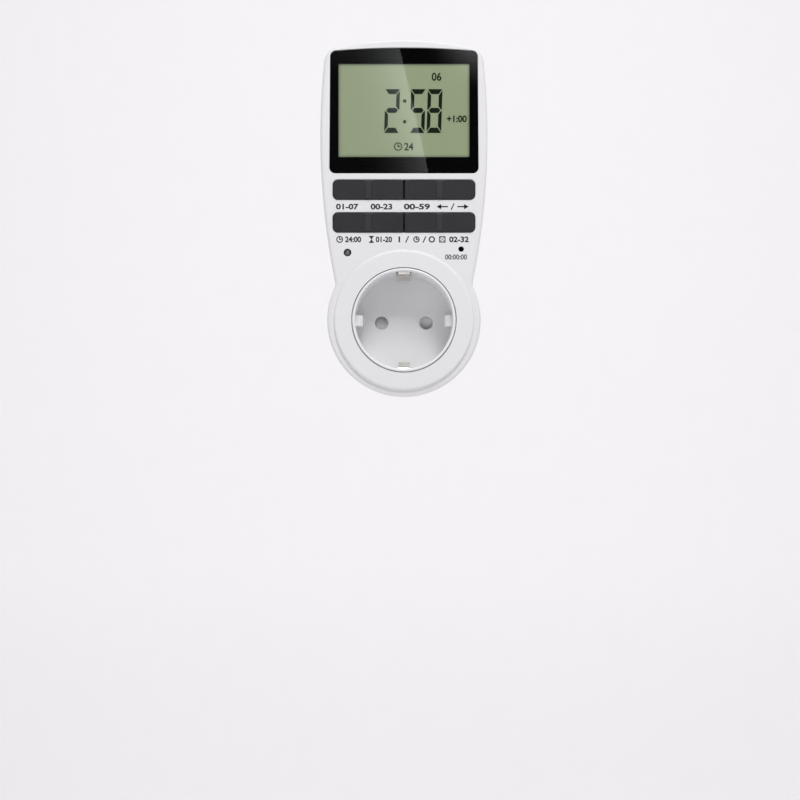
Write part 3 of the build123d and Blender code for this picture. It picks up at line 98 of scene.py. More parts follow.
class Wire:
    """A socket in shader arithmetic: each operator adds the Math node that works it out."""

    def __init__(self, finish, socket):
        self.finish, self.socket = finish, socket

    def _math(self, operation, first, second):
        return self.finish.node("ShaderNodeMath", {"operation": operation}, {0: first, 1: second})

    def __add__(self, other):
        return self._math("ADD", self, other)

    def __radd__(self, other):
        return self._math("ADD", other, self)

    def __sub__(self, other):
        return self._math("SUBTRACT", self, other)

    def __rsub__(self, other):
        return self._math("SUBTRACT", other, self)

    def __mul__(self, other):
        return self._math("MULTIPLY", self, other)

    def __rmul__(self, other):
        return self._math("MULTIPLY", other, self)

    def __truediv__(self, other):
        return self._math("DIVIDE", self, other)

    def __pow__(self, other):
        return self._math("POWER", self, other)

    def __abs__(self):
        return self._math("ABSOLUTE", self, 0.0)


class Finish:
    """One material. Every node in it is added by the method node."""

    def __init__(self, name):
        self.material = bpy.data.materials.new(name)
        self.material.use_nodes = True
        self.tree = self.material.node_tree
        self.tree.nodes.clear()

    def node(self, kind, settings=None, sockets=None, out=0):
        """Adds a node with its settings, then the values and links of its sockets, and gives one
        of its outputs. The output node, which has none, gives the material."""
        made = self.tree.nodes.new(kind)
        for key, value in (settings or {}).items():
            setattr(made, key, value)
        for key, value in (sockets or {}).items():
            if isinstance(value, Wire):
                self.tree.links.new(value.socket, made.inputs[key])
            else:
                made.inputs[key].default_value = value
        return Wire(self, made.outputs[out]) if made.outputs else self.material

    def place(self):
        """Object coordinates."""
        return self.node("ShaderNodeTexCoord", out="Object")

    def axes(self):
        """X, Y and Z of the object coordinates."""
        split = self.node("ShaderNodeSeparateXYZ", sockets={0: self.place()}).socket.node
        return [Wire(self, socket) for socket in split.outputs]

    def noise(self, scale, detail=2.0, stretch=(1, 1, 1)):
        """Noise from 0 to 1, with its grain in repeats per metre."""
        where = self.node("ShaderNodeMapping", sockets={"Vector": self.place(), "Scale": stretch})
        return self.node(
            "ShaderNodeTexNoise", sockets={"Vector": where, "Scale": scale, "Detail": detail})

    def fraction(self, value):
        """What a value has above the next lower whole number."""
        return self.node("ShaderNodeMath", {"operation": "FRACT"}, {0: value})

    def ramp(self, value, low, high):
        """0 below low, 1 above high, smooth between."""
        return self.node("ShaderNodeMapRange", {"interpolation_type": "SMOOTHSTEP"},
                         {"Value": value, "From Min": low, "From Max": high})

    def blend(self, share, first, second):
        """Colour that goes from the first to the second. Sockets 6 and 7 take the two colours."""
        return self.node(
            "ShaderNodeMix", {"data_type": "RGBA"}, {0: share, 6: first, 7: second}, out=2)

    def bump(self, height, strength, distance):
        """Normal that is tilted by the slope of a height."""
        return self.node("ShaderNodeBump", sockets={
            "Height": height, "Strength": strength, "Distance": distance})

    def surface(self, **sockets):
        """Ends the material in one Principled shader. An underscore stands for a space."""
        named = {key.replace("_", " "): value for key, value in sockets.items()}
        return self.end(self.node("ShaderNodeBsdfPrincipled", sockets=named))

    def end(self, shader):
        """Ends the material in a shader and gives the material."""
        return self.node("ShaderNodeOutputMaterial", sockets={"Surface": shader})


bpy.context.scene.view_settings.view_transform = "Standard"
bpy.context.scene.world = bpy.data.worlds.new("room_light")
bpy.context.scene.world.use_nodes = True
sky = bpy.context.scene.world.node_tree.nodes["Background"]
sky.inputs["Color"].default_value = (0.985, 0.985, 1.0, 1)
sky.inputs["Strength"].default_value = 0.325

FLOOR_SIZE, FLOOR_Z, WALL_Y, WALL_HEIGHT, COVE = 8, -0.6, 0.9, 5, 0.35
EDGE_REACH = 0.01    # an edge this near to a plane counts as lying in it
bpy.ops.mesh.primitive_plane_add(size=FLOOR_SIZE, location=(0, WALL_Y - FLOOR_SIZE / 2, FLOOR_Z))
room = bpy.context.active_object
room.name = "room_floor_and_wall"
bpy.ops.object.transform_apply(location=True)
pick(room, "EDGE", lambda m: m.y > WALL_Y - EDGE_REACH)
bpy.ops.mesh.extrude_edges_move(TRANSFORM_OT_translate={"value": (0, 0, WALL_HEIGHT)})
close_edit()
pick(room, "EDGE", lambda m: m.y > WALL_Y - EDGE_REACH and m.z < FLOOR_Z + EDGE_REACH)
bpy.ops.mesh.bevel(offset=COVE, segments=16)
close_edit()
bpy.ops.object.shade_smooth()
wall = Finish("pale_wall_paint")
wall_grain = wall.noise(40, 4)
wall_tone = wall.blend(wall_grain, (0.90, 0.885, 0.90, 1), (0.93, 0.915, 0.93, 1))
room.data.materials.append(wall.surface(
    Base_Color=wall_tone, Roughness=0.85, Emission_Color=wall_tone, Emission_Strength=0.20,
    Normal=wall.bump(wall_grain, 0.1, 0.001)))


LAMP_AIM = Vector((0, -0.04, 0.03))    # middle of the timer


def lamp(name, at, size, power):
    """Square soft lamp turned towards the timer."""
    light = bpy.data.lights.new(name, "AREA")
    light.size, light.energy = size, power
    holder = bpy.data.objects.new(name, light)
    bpy.context.scene.collection.objects.link(holder)
    holder.location = at
    holder.rotation_euler = (LAMP_AIM - Vector(at)).to_track_quat("-Z", "Y").to_euler()


lamp("key_lamp", (0.16, -0.95, 1.16), 0.5, 11.9)
lamp("top_lamp", (-0.10, -0.45, 1.2), 0.6, 1.8)
lamp("side_lamp", (1.0, -0.7, 0.3), 0.6, 0.9)
lamp("fill_lamp", (-0.95, -0.75, -0.05), 0.7, 1.1)


def card(name, at, width, height, shade, brightness):
    """Upright card behind the camera that only reflections see. Brightness is a function that
    works out its strength from place to place."""
    bpy.ops.mesh.primitive_plane_add(size=1, location=at, rotation=(math.pi / 2, 0, 0))
    piece = bpy.context.active_object
    piece.name = name
    piece.scale = (width, height, 1)
    settle(piece)
    cover = Finish(name)
    light = cover.node(
        "ShaderNodeEmission", sockets={"Color": shade, "Strength": brightness(cover)})
    piece.data.materials.append(cover.end(light))
    piece.visible_camera = piece.visible_diffuse = piece.visible_shadow = False
    return piece


# The dark card has one soft glow, which the window mirrors in its upper right corner.
GLOW_X, GLOW_Z, GLOW_RADIUS, GLOW_FALL = 0.125, 0.53, 0.095, 1.5
GLOW_LIGHT, DARK_LIGHT = 4.2, 0.12


def corner_glow(cover):
    """Strength of the dark card: almost none, and a round glow."""
    x, _, z = cover.axes()
    off_glow = ((x - GLOW_X) ** 2 + (z - GLOW_Z) ** 2) ** 0.5
    return (1 - cover.ramp(off_glow, 0.0, GLOW_RADIUS)) ** GLOW_FALL * GLOW_LIGHT + DARK_LIGHT


card("dark_card", (0, -1.3, 0.35), 1.0, 0.9, (1, 1, 1, 1), corner_glow)

# The gloss card is cut off along a slanted line, and fades away from there to the left.
GLOSS_Y, CUT_X, CUT_Z, CUT_SLANT = -1.2, -0.002, 0.476, 0.232
FADE_WIDTH, FADE_FALL, CUT_LIGHT = 0.105, 2.8, 2.2
UPPER_FROM_Z, UPPER_TO_Z, UPPER_LIGHT, FAR_LIGHT = 0.43, 0.485, 0.3, 0.15


def gloss_fade(cover):
    """Strength of the gloss card: most along its cut, and a little more in its upper part."""
    x, _, z = cover.axes()
    across = x + (z - CUT_Z) * CUT_SLANT - CUT_X
    share = cover.node(
        "ShaderNodeMapRange", sockets={"Value": across, "From Min": -FADE_WIDTH, "From Max": 0.0})
    upper = cover.ramp(z, UPPER_FROM_Z, UPPER_TO_Z)
    return share ** FADE_FALL * CUT_LIGHT + upper * UPPER_LIGHT + FAR_LIGHT


gloss_card = card("gloss_card", (-0.2, GLOSS_Y, 0.39), 0.6, 0.34, (0.97, 1, 1, 1), gloss_fade)
pick(gloss_card, "FACE", lambda m: True)
bpy.ops.mesh.bisect(
    plane_co=(CUT_X, GLOSS_Y, CUT_Z), plane_no=(1, 0, CUT_SLANT), clear_outer=True)
close_edit()

camera = bpy.data.objects.new("camera", bpy.data.cameras.new("camera"))
bpy.context.scene.collection.objects.link(camera)
camera.location = (-0.00162, -0.509, -0.0327)
camera.rotation_euler = (math.pi / 2, 0, 0)
camera.data.sensor_width, camera.data.lens = 36, 49.5
camera.data.clip_start = 0.01
bpy.context.scene.camera = camera


# Covers and plug boss. Two white shells and a round insert, moulded in a satin flame-retardant
# plastic with a fine spark-eroded grain. The shells meet at a seam half way along the depth;
# dust and a painted shade darken them along it.
SEAM_Y, SEAM_HALF, SEAM_DUST_AND_SHADE_REACH = -0.040, 0.00015, 0.0007
CLOUD_SHADE, SEAM_DUST_AND_SHADE_TONE, SEAM_DUST_AND_SHADE_SHARE = 0.965, 0.6, 0.35
GRAIN_GLOSS, HANDLING_GLOSS = 0.10, 0.07    # how far grain and handling roughen the surface


def paint(material, *names):
    """Gives CAD nodes a material."""
    for name in names:
        for slot in frame["nodes"][name].material_slots:
            slot.material = material


def moulded(name, colour, roughness, grain=2600, seam_y=None, ior=1.5):
    """Moulded plastic: fine grain, faint flow clouds, handling marks, dust and painted shade in any
    seam.
    """
    finish = Finish(name)
    fine = finish.noise(grain, 3)
    cloud = finish.noise(45, 3, (1, 1, 0.5))
    handling = finish.ramp(finish.noise(130, 5), 0.55, 0.75)
    tone = finish.blend(cloud, (*(c * CLOUD_SHADE for c in colour), 1), (*colour, 1))
    if seam_y is not None:
        # Dust and a painted shade darken the tone along the seam.
        seam_dust_and_shade = 1 - finish.ramp(abs(finish.axes()[1] - seam_y), SEAM_HALF, SEAM_DUST_AND_SHADE_REACH)
        tone = finish.blend(seam_dust_and_shade * SEAM_DUST_AND_SHADE_SHARE, tone, (*(c * SEAM_DUST_AND_SHADE_TONE for c in colour), 1))
    return finish.surface(
        Base_Color=tone, IOR=ior,
        Roughness=fine * GRAIN_GLOSS + handling * HANDLING_GLOSS + (roughness - HANDLING_GLOSS),
        Normal=finish.bump(fine, 0.12, 0.00004))


shell_white = moulded("white_satin_shell", (0.83, 0.83, 0.845), 0.46, seam_y=SEAM_Y)
paint(shell_white, "front_cover", "rear_cover", "plug_boss")


# Rating plate. A bare label with rounded corners, die cut from pale matt film and stuck on the back
# of the rear cover, in its upper half.
BACK_Y, PLATE_Z = -0.017, 0.087
PLATE_WIDTH, PLATE_HEIGHT, PLATE_THICKNESS, PLATE_CORNER = 0.042, 0.024, 0.00012, 0.0018
PLATE_MIDDLE_Y = BACK_Y + PLATE_THICKNESS * 0.4    # a tenth of it lies in the cover
bpy.ops.object.select_all(action="DESELECT")
bpy.ops.mesh.primitive_cube_add(
    size=1, location=(0, PLATE_MIDDLE_Y, PLATE_Z),
    scale=(PLATE_WIDTH, PLATE_THICKNESS, PLATE_HEIGHT))
rating_plate = bpy.context.active_object
rating_plate.name = "bare_rating_plate"
settle(rating_plate)
pick(rating_plate, "EDGE",
     lambda m: abs(m.x) > PLATE_WIDTH * 0.49 and abs(m.z - PLATE_Z) > PLATE_HEIGHT * 0.49)
bpy.ops.mesh.bevel(offset=PLATE_CORNER, segments=6)
close_edit()
film = Finish("matt_label_film")
film_grain = film.noise(2200, 3)
film_creases = film.noise(160, 4)
rating_plate.data.materials.append(film.surface(
    Base_Color=film.blend(film_creases, (0.56, 0.565, 0.575, 1), (0.62, 0.625, 0.635, 1)),
    Roughness=film_grain * 0.12 + 0.34, IOR=1.5,
    Normal=film.bump(film_creases, 0.15, 0.00006)))
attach(rating_plate, "housing")


# Socket insert. Recess wall, floor and shutter are moulded in a harder, slightly glossier white
# that withstands the heat of the contacts. They are clamped behind the front cover.
collar_white = moulded("white_socket_insert", (0.86, 0.86, 0.87), 0.36, 3200)
paint(collar_white, "socket_collar", "socket_floor", "shutter")


# Keys. Four rocker caps in dark grey plastic with a soft-touch coating, each with a narrow raised
# band over its pivot. The coating is matt; along the band it is painted a little lighter, a painted
# highlight.
BAND_Y, CAP_Y = -0.05985, -0.05965    # fronts of the band and of the cap beside it
keys = Finish("soft_touch_dark_grey")
key_grain = keys.noise(3800, 2)
key_wear = keys.noise(160, 3)
# Painted highlight: the front of the raised band is painted lighter than the cap.
painted_band_highlight = 1 - keys.ramp(keys.axes()[1], BAND_Y, CAP_Y)
key_tone = keys.blend(key_wear, (0.0180, 0.0170, 0.0208, 1), (0.0235, 0.0222, 0.0262, 1))
paint(keys.surface(
    Base_Color=keys.blend(painted_band_highlight, key_tone, (0.030, 0.0292, 0.033, 1)),
    Roughness=key_wear * 0.16 + 0.44, IOR=1.4, Coat_Weight=0.05, Coat_Roughness=0.5,
    Normal=keys.bump(key_grain, 0.22, 0.00005)),
    "key_upper_left", "key_upper_right", "key_lower_left", "key_lower_right")


# Printed labels. Dark grey pad-printed figures and plain signs under each key function and under
# the reset hole. The ink is a few hundredths of a millimetre thick and slightly uneven.
PRINT = (-0.05901, 0.00003)    # middle of the ink and its thickness, along Y
UPPER_LABELS_Z, LOWER_LABELS_Z = 0.0464, 0.0330
LABEL_HEIGHT, STROKE, BOLD = 0.0024, 0.00043, 0.034
SLASH_HALF, SLASH_RUN = 0.0013, 0.0012


def flat_bar(a, b, width, layer):
    """Thin straight bar between two points, each given as X and Z."""
    run, rise = b[0] - a[0], b[1] - a[1]
    bpy.ops.mesh.primitive_cube_add(
        size=1, location=((a[0] + b[0]) / 2, layer[0], (a[1] + b[1]) / 2),
        rotation=(0, -math.atan2(rise, run), 0), scale=(math.hypot(run, rise), layer[1], width))
    piece = bpy.context.active_object
    settle(piece)
    return piece


def flat_disc(x, z, radius, layer, sides=28, turn=0.0):
    """Thin disc, or a thin regular shape with few sides, its first corner turned up by an angle."""
    bpy.ops.mesh.primitive_cylinder_add(
        vertices=sides, radius=radius, depth=layer[1], rotation=(math.pi / 2, 0, 0))
    piece = bpy.context.active_object
    settle(piece)
    piece.data.transform(Matrix.Translation((x, layer[0], z)) @ Matrix.Rotation(turn, 4, "Y"))
    return piece


def flat_ring(x, z, outer, inner, layer, sides=36, turn=0.0):
    """Thin ring, or an outline with few sides: a disc whose inset middle is bridged through."""
    piece = flat_disc(x, z, outer, layer, sides, turn)
    pick(piece, "FACE", lambda m: math.hypot(m.x - x, m.z - z) < outer * 0.1)
    bpy.ops.mesh.inset(thickness=(outer - inner) * math.cos(math.pi / sides))
    bpy.ops.mesh.bridge_edge_loops()
    close_edit()
    return piece


def flat_text(figures, x, z, height, layer, weight, stretch):
    """Thin figures centred on a point, made bolder by a weight and wider by a factor."""
    bpy.ops.object.text_add()
    text = bpy.context.active_object.data
    text.body, text.offset, text.extrude, text.resolution_u = figures, weight, 0.5, 4
    bpy.ops.object.convert(target="MESH")
    piece = bpy.context.active_object
    corners = [Vector(c) for c in piece.bound_box]
    low, high = corners[0], corners[6]
    scale = height / (high.y - low.y)
    piece.data.transform(
        Matrix.Translation((x, layer[0], z)) @ Matrix.Rotation(math.pi / 2, 4, "X")
        @ Matrix.Diagonal((scale * stretch, scale, layer[1] / (high.z - low.z), 1))
        @ Matrix.Translation(-(low + high) / 2))
    return piece


def dial(x, z, radius, width, layer):
    """Clock face with two hands, one up and one to the right."""
    return [
        flat_ring(x, z, radius, radius - width, layer),
        flat_bar((x, z - width / 2), (x, z + radius * 0.62), width, layer),
        flat_bar((x - width / 2, z), (x + radius * 0.55, z), width, layer)]


def label(figures, x, z, stretch):
    """Figures of the usual label size."""
    return flat_text(figures, x, z, LABEL_HEIGHT, PRINT, BOLD, stretch)


def level_line(x, z, half_length, width):
    """Level stroke of a sign, given by its middle."""
    return flat_bar((x - half_length, z), (x + half_length, z), width, PRINT)


def slash(x, z):
    """Sloping stroke between two signs, with its foot at x."""
    return flat_bar((x, z - SLASH_HALF), (x + SLASH_RUN, z + SLASH_HALF), STROKE, PRINT)


def together(pieces, name=None):
    """Joins pieces into the first."""
    alone(pieces[0])
    for piece in pieces[1:]:
        piece.select_set(True)
    bpy.ops.object.join()
    if name:
        pieces[0].name = pieces[0].data.name = name
    return pieces[0]


# Weekday, hour and minute: their usual ranges
labels = [
    label("01-07", -0.0232, UPPER_LABELS_Z, 1.26),
    label("00-23", -0.0092, UPPER_LABELS_Z, 1.24),
    label("00-59", 0.0053, UPPER_LABELS_Z, 1.50)]
# Cancel and recall: an arrow each way
ARROW_HALF, TIP_OFFSET, TIP_RADIUS = 0.0020, 0.0014, 0.00125
labels.append(slash(0.0193, UPPER_LABELS_Z))
for x, way in ((0.0160, -1), (0.0238, 1)):
    labels += [
        level_line(x, UPPER_LABELS_Z, ARROW_HALF, STROKE * 1.2),
        flat_disc(x + way * TIP_OFFSET, UPPER_LABELS_Z, TIP_RADIUS, PRINT, 3, way * math.pi / 2)]
# Clock: a dial and its hours
labels += dial(-0.0263, LOWER_LABELS_Z, 0.0014, STROKE, PRINT)
labels.append(label("24:00", -0.0208, LOWER_LABELS_Z, 0.95))
# Programmes: a sand glass and their numbers
SAND_X, SAND_HALF_WIDTH, SAND_HALF_HEIGHT = -0.0133, 0.0010, 0.0012
BULB_OFFSET, BULB_RADIUS = 0.00068, 0.00085
labels += [
    flat_disc(SAND_X, LOWER_LABELS_Z + BULB_OFFSET, BULB_RADIUS, PRINT, 3, math.pi),
    flat_disc(SAND_X, LOWER_LABELS_Z - BULB_OFFSET, BULB_RADIUS, PRINT, 3),
    level_line(SAND_X, LOWER_LABELS_Z + SAND_HALF_HEIGHT, SAND_HALF_WIDTH, STROKE),
    level_line(SAND_X, LOWER_LABELS_Z - SAND_HALF_HEIGHT, SAND_HALF_WIDTH, STROKE)]
labels.append(label("01-20", -0.0082, LOWER_LABELS_Z, 0.92))
# On, driven by the clock, off: a bar, a dial and a ring
ON_X, BY_CLOCK_X, OFF_X, SIGN_RADIUS, ON_HALF = -0.0019, 0.0051, 0.0114, 0.0013, 0.0012
labels += dial(BY_CLOCK_X, LOWER_LABELS_Z, SIGN_RADIUS, STROKE, PRINT)
labels += [
    flat_bar((ON_X, LOWER_LABELS_Z - ON_HALF), (ON_X, LOWER_LABELS_Z + ON_HALF), STROKE * 1.5,
             PRINT),
    flat_ring(OFF_X, LOWER_LABELS_Z, SIGN_RADIUS, SIGN_RADIUS - STROKE * 1.2, PRINT),
    slash(0.0007, LOWER_LABELS_Z),
    slash(0.0078, LOWER_LABELS_Z)]
# Chance: the face of a die and its minutes
DIE_X, DIE_HALF, SPOT_STEP, SPOT_RADIUS = 0.0157, 0.0013, 0.00060, 0.00025
labels.append(flat_ring(
    DIE_X, LOWER_LABELS_Z, DIE_HALF * math.sqrt(2), (DIE_HALF - STROKE * 0.85) * math.sqrt(2),
    PRINT, 4, math.pi / 4))
labels += [
    flat_disc(DIE_X + i * SPOT_STEP, LOWER_LABELS_Z + j * SPOT_STEP, SPOT_RADIUS, PRINT, 12)
    for i, j in ((0, 0), (1, 1), (1, -1), (-1, 1), (-1, -1))]
labels.append(label("02-32", 0.0225, LOWER_LABELS_Z, 1.1))
# Reset, back to nought
labels.append(flat_text("00:00:00", 0.0213, 0.0258, 0.0021, PRINT, BOLD / 2, 0.92))

printed_labels = together(labels, "printed_labels")
ink = Finish("dark_grey_print")
ink_spread = ink.noise(2500, 3)
printed_labels.data.materials.clear()
printed_labels.data.materials.append(ink.surface(
    Base_Color=ink.blend(ink_spread, (0.006, 0.006, 0.007, 1), (0.020, 0.020, 0.022, 1)),
    Roughness=ink_spread * 0.2 + 0.45))
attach(printed_labels, "housing")


# Window. A clear acrylic plate with a black print on its back, and a black border behind it; both
# lie in a seat of the front cover, a tenth of a millimetre below its face.
VIEW_MIDDLE_Z, VIEW_HALF_WIDTH, VIEW_HALF_HEIGHT = 0.0862, 0.0269, 0.01915
PRINT_INSET, PRINT_EDGE = 0.0002, 0.0001    # the print stops a little outside the border's opening
PRINT_FROM_Y, PRINT_FULL_Y = -0.0584, -0.0580    # behind the plate's clear front
EDGE_ON_GLOSS, HEAD_ON_GLOSS = 0.96, 0.02    # shares of light that the front mirrors
clear = Finish("clear_acrylic_window")
x, y, z = clear.axes()
beside = abs(x) - VIEW_HALF_WIDTH - PRINT_INSET
beyond = abs(z - VIEW_MIDDLE_Z) - VIEW_HALF_HEIGHT - PRINT_INSET
in_view = (1 - clear.ramp(beside, 0.0, PRINT_EDGE)) * (1 - clear.ramp(beyond, 0.0, PRINT_EDGE))
printed = (1 - in_view) * clear.ramp(y, PRINT_FROM_Y, PRINT_FULL_Y)
bare = clear.node("ShaderNodeBsdfTransparent", sockets={"Color": (0.985, 0.99, 0.99, 1)})
black_back = clear.node("ShaderNodeBsdfDiffuse", sockets={"Color": (0.0024, 0.0025, 0.0025, 1)})
through = clear.node("ShaderNodeMixShader", sockets={0: printed, 1: bare, 2: black_back})
gloss = clear.node("ShaderNodeBsdfGlossy", sockets={"Color": (1, 1, 1, 1), "Roughness": 0.015})
facing = clear.node("ShaderNodeLayerWeight", sockets={"Blend": 0.5}, out="Facing")
mirrored_share = facing ** 5 * EDGE_ON_GLOSS + HEAD_ON_GLOSS
glazed = clear.node("ShaderNodeMixShader", sockets={0: mirrored_share, 1: through, 2: gloss})
paint(clear.end(glazed), "display_lens")

border = Finish("black_border_print")
border_cloud = border.noise(90, 2)
paint(border.surface(
    Base_Color=border.blend(border_cloud, (0.0016, 0.0024, 0.0022, 1), (0.0026, 0.0034, 0.0032, 1)),
    Roughness=border_cloud * 0.1 + 0.5, Specular_IOR_Level=0.0), "display_mask")


# Display. A passive liquid crystal glass with a grey-green reflector. Its rim lies in the shadow of
# the printed border, the reflector has a very fine grain, and its front film is glossy.
SHADOW_FROM, SHADOW_TO = -0.0004, 0.0014    # inwards from the edge of the opening
screen = Finish("grey_green_reflector")
x, _, z = screen.axes()
from_side = VIEW_HALF_WIDTH - abs(x)
from_end = VIEW_HALF_HEIGHT - abs(z - VIEW_MIDDLE_Z)
lit = screen.ramp(from_side, SHADOW_FROM, SHADOW_TO) * screen.ramp(from_end, SHADOW_FROM, SHADOW_TO)
grain = screen.noise(6000, 2)
tone = screen.blend(screen.ramp(x, -0.02, 0.02), (0.363, 0.413, 0.276, 1), (0.352, 0.411, 0.246, 1))
tone = screen.blend(grain, tone, (0.330, 0.387, 0.239, 1))
paint(screen.surface(
    Base_Color=screen.blend(lit, (0.194, 0.224, 0.142, 1), tone), Roughness=0.05, IOR=1.35),
    "display_glass")


# Lit marks on the display. Seven-bar figures with mitred ends that lean slightly to the right, the
# two dots of the colon, and small plain figures for the weekday, the mode and summer time.
CRYSTAL = (-0.05712, 0.00005)    # middle of the marks and their thickness, along Y
FIGURE_LOW, FIGURE_HEIGHT, FIGURE_WIDTH = 0.0770, 0.0180, 0.0060
BAR_HEIGHT, STEM_WIDTH, BAR_GAP, STEM_GAP = 0.00210, 0.00142, 0.00005, 0.00033
MIDDLE_HALF, MIDDLE_INSET, MIDDLE_SLOPE, MIDDLE_RAISE = 0.00103, 0.00060, 0.7, 0.00030
LEAN = 0.031    # sideways for each metre of height


def mitred(x0, x1, z0, z1, gap, cuts):
    """Bar of one figure: a thin plate cut along slanted lines. Each cut is a point and an outward
    direction, and is moved inwards by the gap."""
    bpy.ops.mesh.primitive_cube_add(
        size=1, location=((x0 + x1) / 2, CRYSTAL[0], (z0 + z1) / 2),
        scale=(x1 - x0, CRYSTAL[1], z1 - z0))
    piece = bpy.context.active_object
    settle(piece)
    bpy.ops.object.mode_set(mode="EDIT")
    for corner, outward in cuts:
        outward = Vector(outward).normalized()
        point = Vector(corner) - outward * gap
        bpy.ops.mesh.select_all(action="SELECT")
        bpy.ops.mesh.bisect(
            plane_co=(point.x, CRYSTAL[0], point.y), plane_no=(outward.x, 0, outward.y),
            use_fill=True, clear_outer=True, threshold=1e-7)
    close_edit()
    return piece


def moved_copy(piece, move):
    """Copy of a piece with a mesh of its own, which a matrix moves."""
    twin = piece.copy()
    twin.data = piece.data.copy()
    bpy.context.scene.collection.objects.link(twin)
    twin.data.transform(move)
    return twin


def mirrored(piece, axis, middle):
    """Copy of a bar on the other side of the figure's middle."""
    centre = Matrix.Translation(Vector(axis) * middle)
    twin = moved_copy(piece, centre @ Matrix.Scale(-1, 4, axis) @ centre.inverted())
    twin.data.flip_normals()
    return twin


ACROSS, UP = (1, 0, 0), (0, 0, 1)
half = FIGURE_HEIGHT / 2
top_bar = mitred(0, FIGURE_WIDTH, FIGURE_HEIGHT - BAR_HEIGHT, FIGURE_HEIGHT, BAR_GAP, [
    ((0, FIGURE_HEIGHT), (-BAR_HEIGHT, -STEM_WIDTH)),
    ((FIGURE_WIDTH, FIGURE_HEIGHT), (BAR_HEIGHT, -STEM_WIDTH))])
left_stem = mitred(0, STEM_WIDTH, half, FIGURE_HEIGHT, STEM_GAP, [
    ((0, FIGURE_HEIGHT), (BAR_HEIGHT, STEM_WIDTH)), ((MIDDLE_INSET, half), (1, -MIDDLE_SLOPE)),
    ((0, half), (0, -1))])
middle_bar = mitred(0, FIGURE_WIDTH, half - MIDDLE_HALF, half + MIDDLE_HALF, BAR_GAP, [
    ((MIDDLE_INSET, half), (-1, MIDDLE_SLOPE)), ((MIDDLE_INSET, half), (-1, -MIDDLE_SLOPE)),
    ((FIGURE_WIDTH - MIDDLE_INSET, half), (1, MIDDLE_SLOPE)),
    ((FIGURE_WIDTH - MIDDLE_INSET, half), (1, -MIDDLE_SLOPE))])
bars = {
    "top": top_bar, "bottom": mirrored(top_bar, UP, half), "middle": middle_bar,
    "upper_left": left_stem, "upper_right": mirrored(left_stem, ACROSS, FIGURE_WIDTH / 2),
    "lower_left": mirrored(left_stem, UP, half)}
bars["lower_right"] = mirrored(bars["lower_left"], ACROSS, FIGURE_WIDTH / 2)
# The middle bar lies a little above half height, and the stems reach to it.
for bar in bars.values():
    for corner in bar.data.vertices:
        corner.co.z += MIDDLE_RAISE * (1 - abs(corner.co.z - half) / half)
# Two, five and eight: each one's left side and its lit bars
FIGURES = (
    (-0.00816, ("top", "upper_right", "middle", "lower_left", "bottom")),
    (0.00240, ("top", "upper_left", "middle", "lower_right", "bottom")),
    (0.00928, tuple(bars)))
leaned = Matrix(((1, 0, LEAN, 0), (0, 1, 0, 0), (0, 0, 1, 0), (0, 0, 0, 1)))
marks = [
    moved_copy(bars[bar_name], Matrix.Translation((left, 0, FIGURE_LOW)) @ leaned)
    for left, lit_bars in FIGURES for bar_name in lit_bars]
for bar in bars.values():
    bpy.data.objects.remove(bar)
COLON_X, DOT_RADIUS = 0.0003, 0.00074
marks += [flat_disc(COLON_X, dot_z, DOT_RADIUS, CRYSTAL, 20) for dot_z in (0.0901, 0.0816)]
# Weekday number, mode (driven by the clock, over 24 hours) and summer time (an hour more)
MODE_Z = 0.0714
marks.append(flat_text("06", 0.0134, 0.1001, 0.0034, CRYSTAL, 0.02, 0.9))
marks += dial(-0.0024, MODE_Z, 0.0017, 0.00040, CRYSTAL)
marks.append(flat_text("24", 0.0020, MODE_Z, 0.0031, CRYSTAL, 0.02, 0.9))
marks.append(flat_text("+1:00", 0.0217, 0.0828, 0.0028, CRYSTAL, 0.030, 0.98))
display_marks = together(marks, "display_marks")
crystal = Finish("darkened_liquid_crystal")
crystal_cloud = crystal.noise(700, 2)
display_marks.data.materials.clear()
display_marks.data.materials.append(crystal.surface(
    Base_Color=crystal.blend(crystal_cloud, (0.003, 0.010, 0.004, 1), (0.008, 0.019, 0.009, 1)),
    Roughness=0.05, IOR=1.1))
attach(display_marks, "housing")


# Indicator light. A smoky clear cap that stands through its hole. A painted highlight makes its
# middle lighter; towards its rim the cap stays dark.
LIGHT_X, LIGHT_Z, HIGHLIGHT_RADIUS, CAP_RIM = -0.0231, 0.02765, 0.0002, 0.0011
light_cap = Finish("smoky_light_cap")
x, _, z = light_cap.axes()
off_axis = ((x - LIGHT_X) ** 2 + (z - LIGHT_Z) ** 2) ** 0.5
# Painted highlight in the middle of the cap, fading out towards its rim.
painted_highlight = 1 - light_cap.ramp(off_axis, HIGHLIGHT_RADIUS, CAP_RIM)
paint(light_cap.surface(
    Base_Color=light_cap.blend(painted_highlight, (0.022, 0.020, 0.022, 1), (0.19, 0.186, 0.19, 1)),
    Roughness=light_cap.noise(900) * 0.08 + 0.14, Coat_Weight=0.6, Coat_Roughness=0.05),
    "indicator_light")


# Reset plunger. A small black moulded pin, deep in its pinhole in the front cover. The tip of a
# pen pushes it on to the reset switch. Its black is far deeper than the other black plastic: a
# painted shade of the deep pinhole.
plunger_black_and_shade = moulded("black_plastic_and_painted_shade", (0.0020, 0.0020, 0.0024), 0.62, 3000, ior=1.2)
paint(plunger_black_and_shade, "reset_plunger")


# Reset switch and contact carrier. The usual black switch body, and a black carrier that withstands
# the heat of the contacts.
black_plastic = moulded("black_moulded_plastic", (0.020, 0.020, 0.022), 0.5, 3000)
paint(black_plastic, "reset_switch", "contact_carrier")


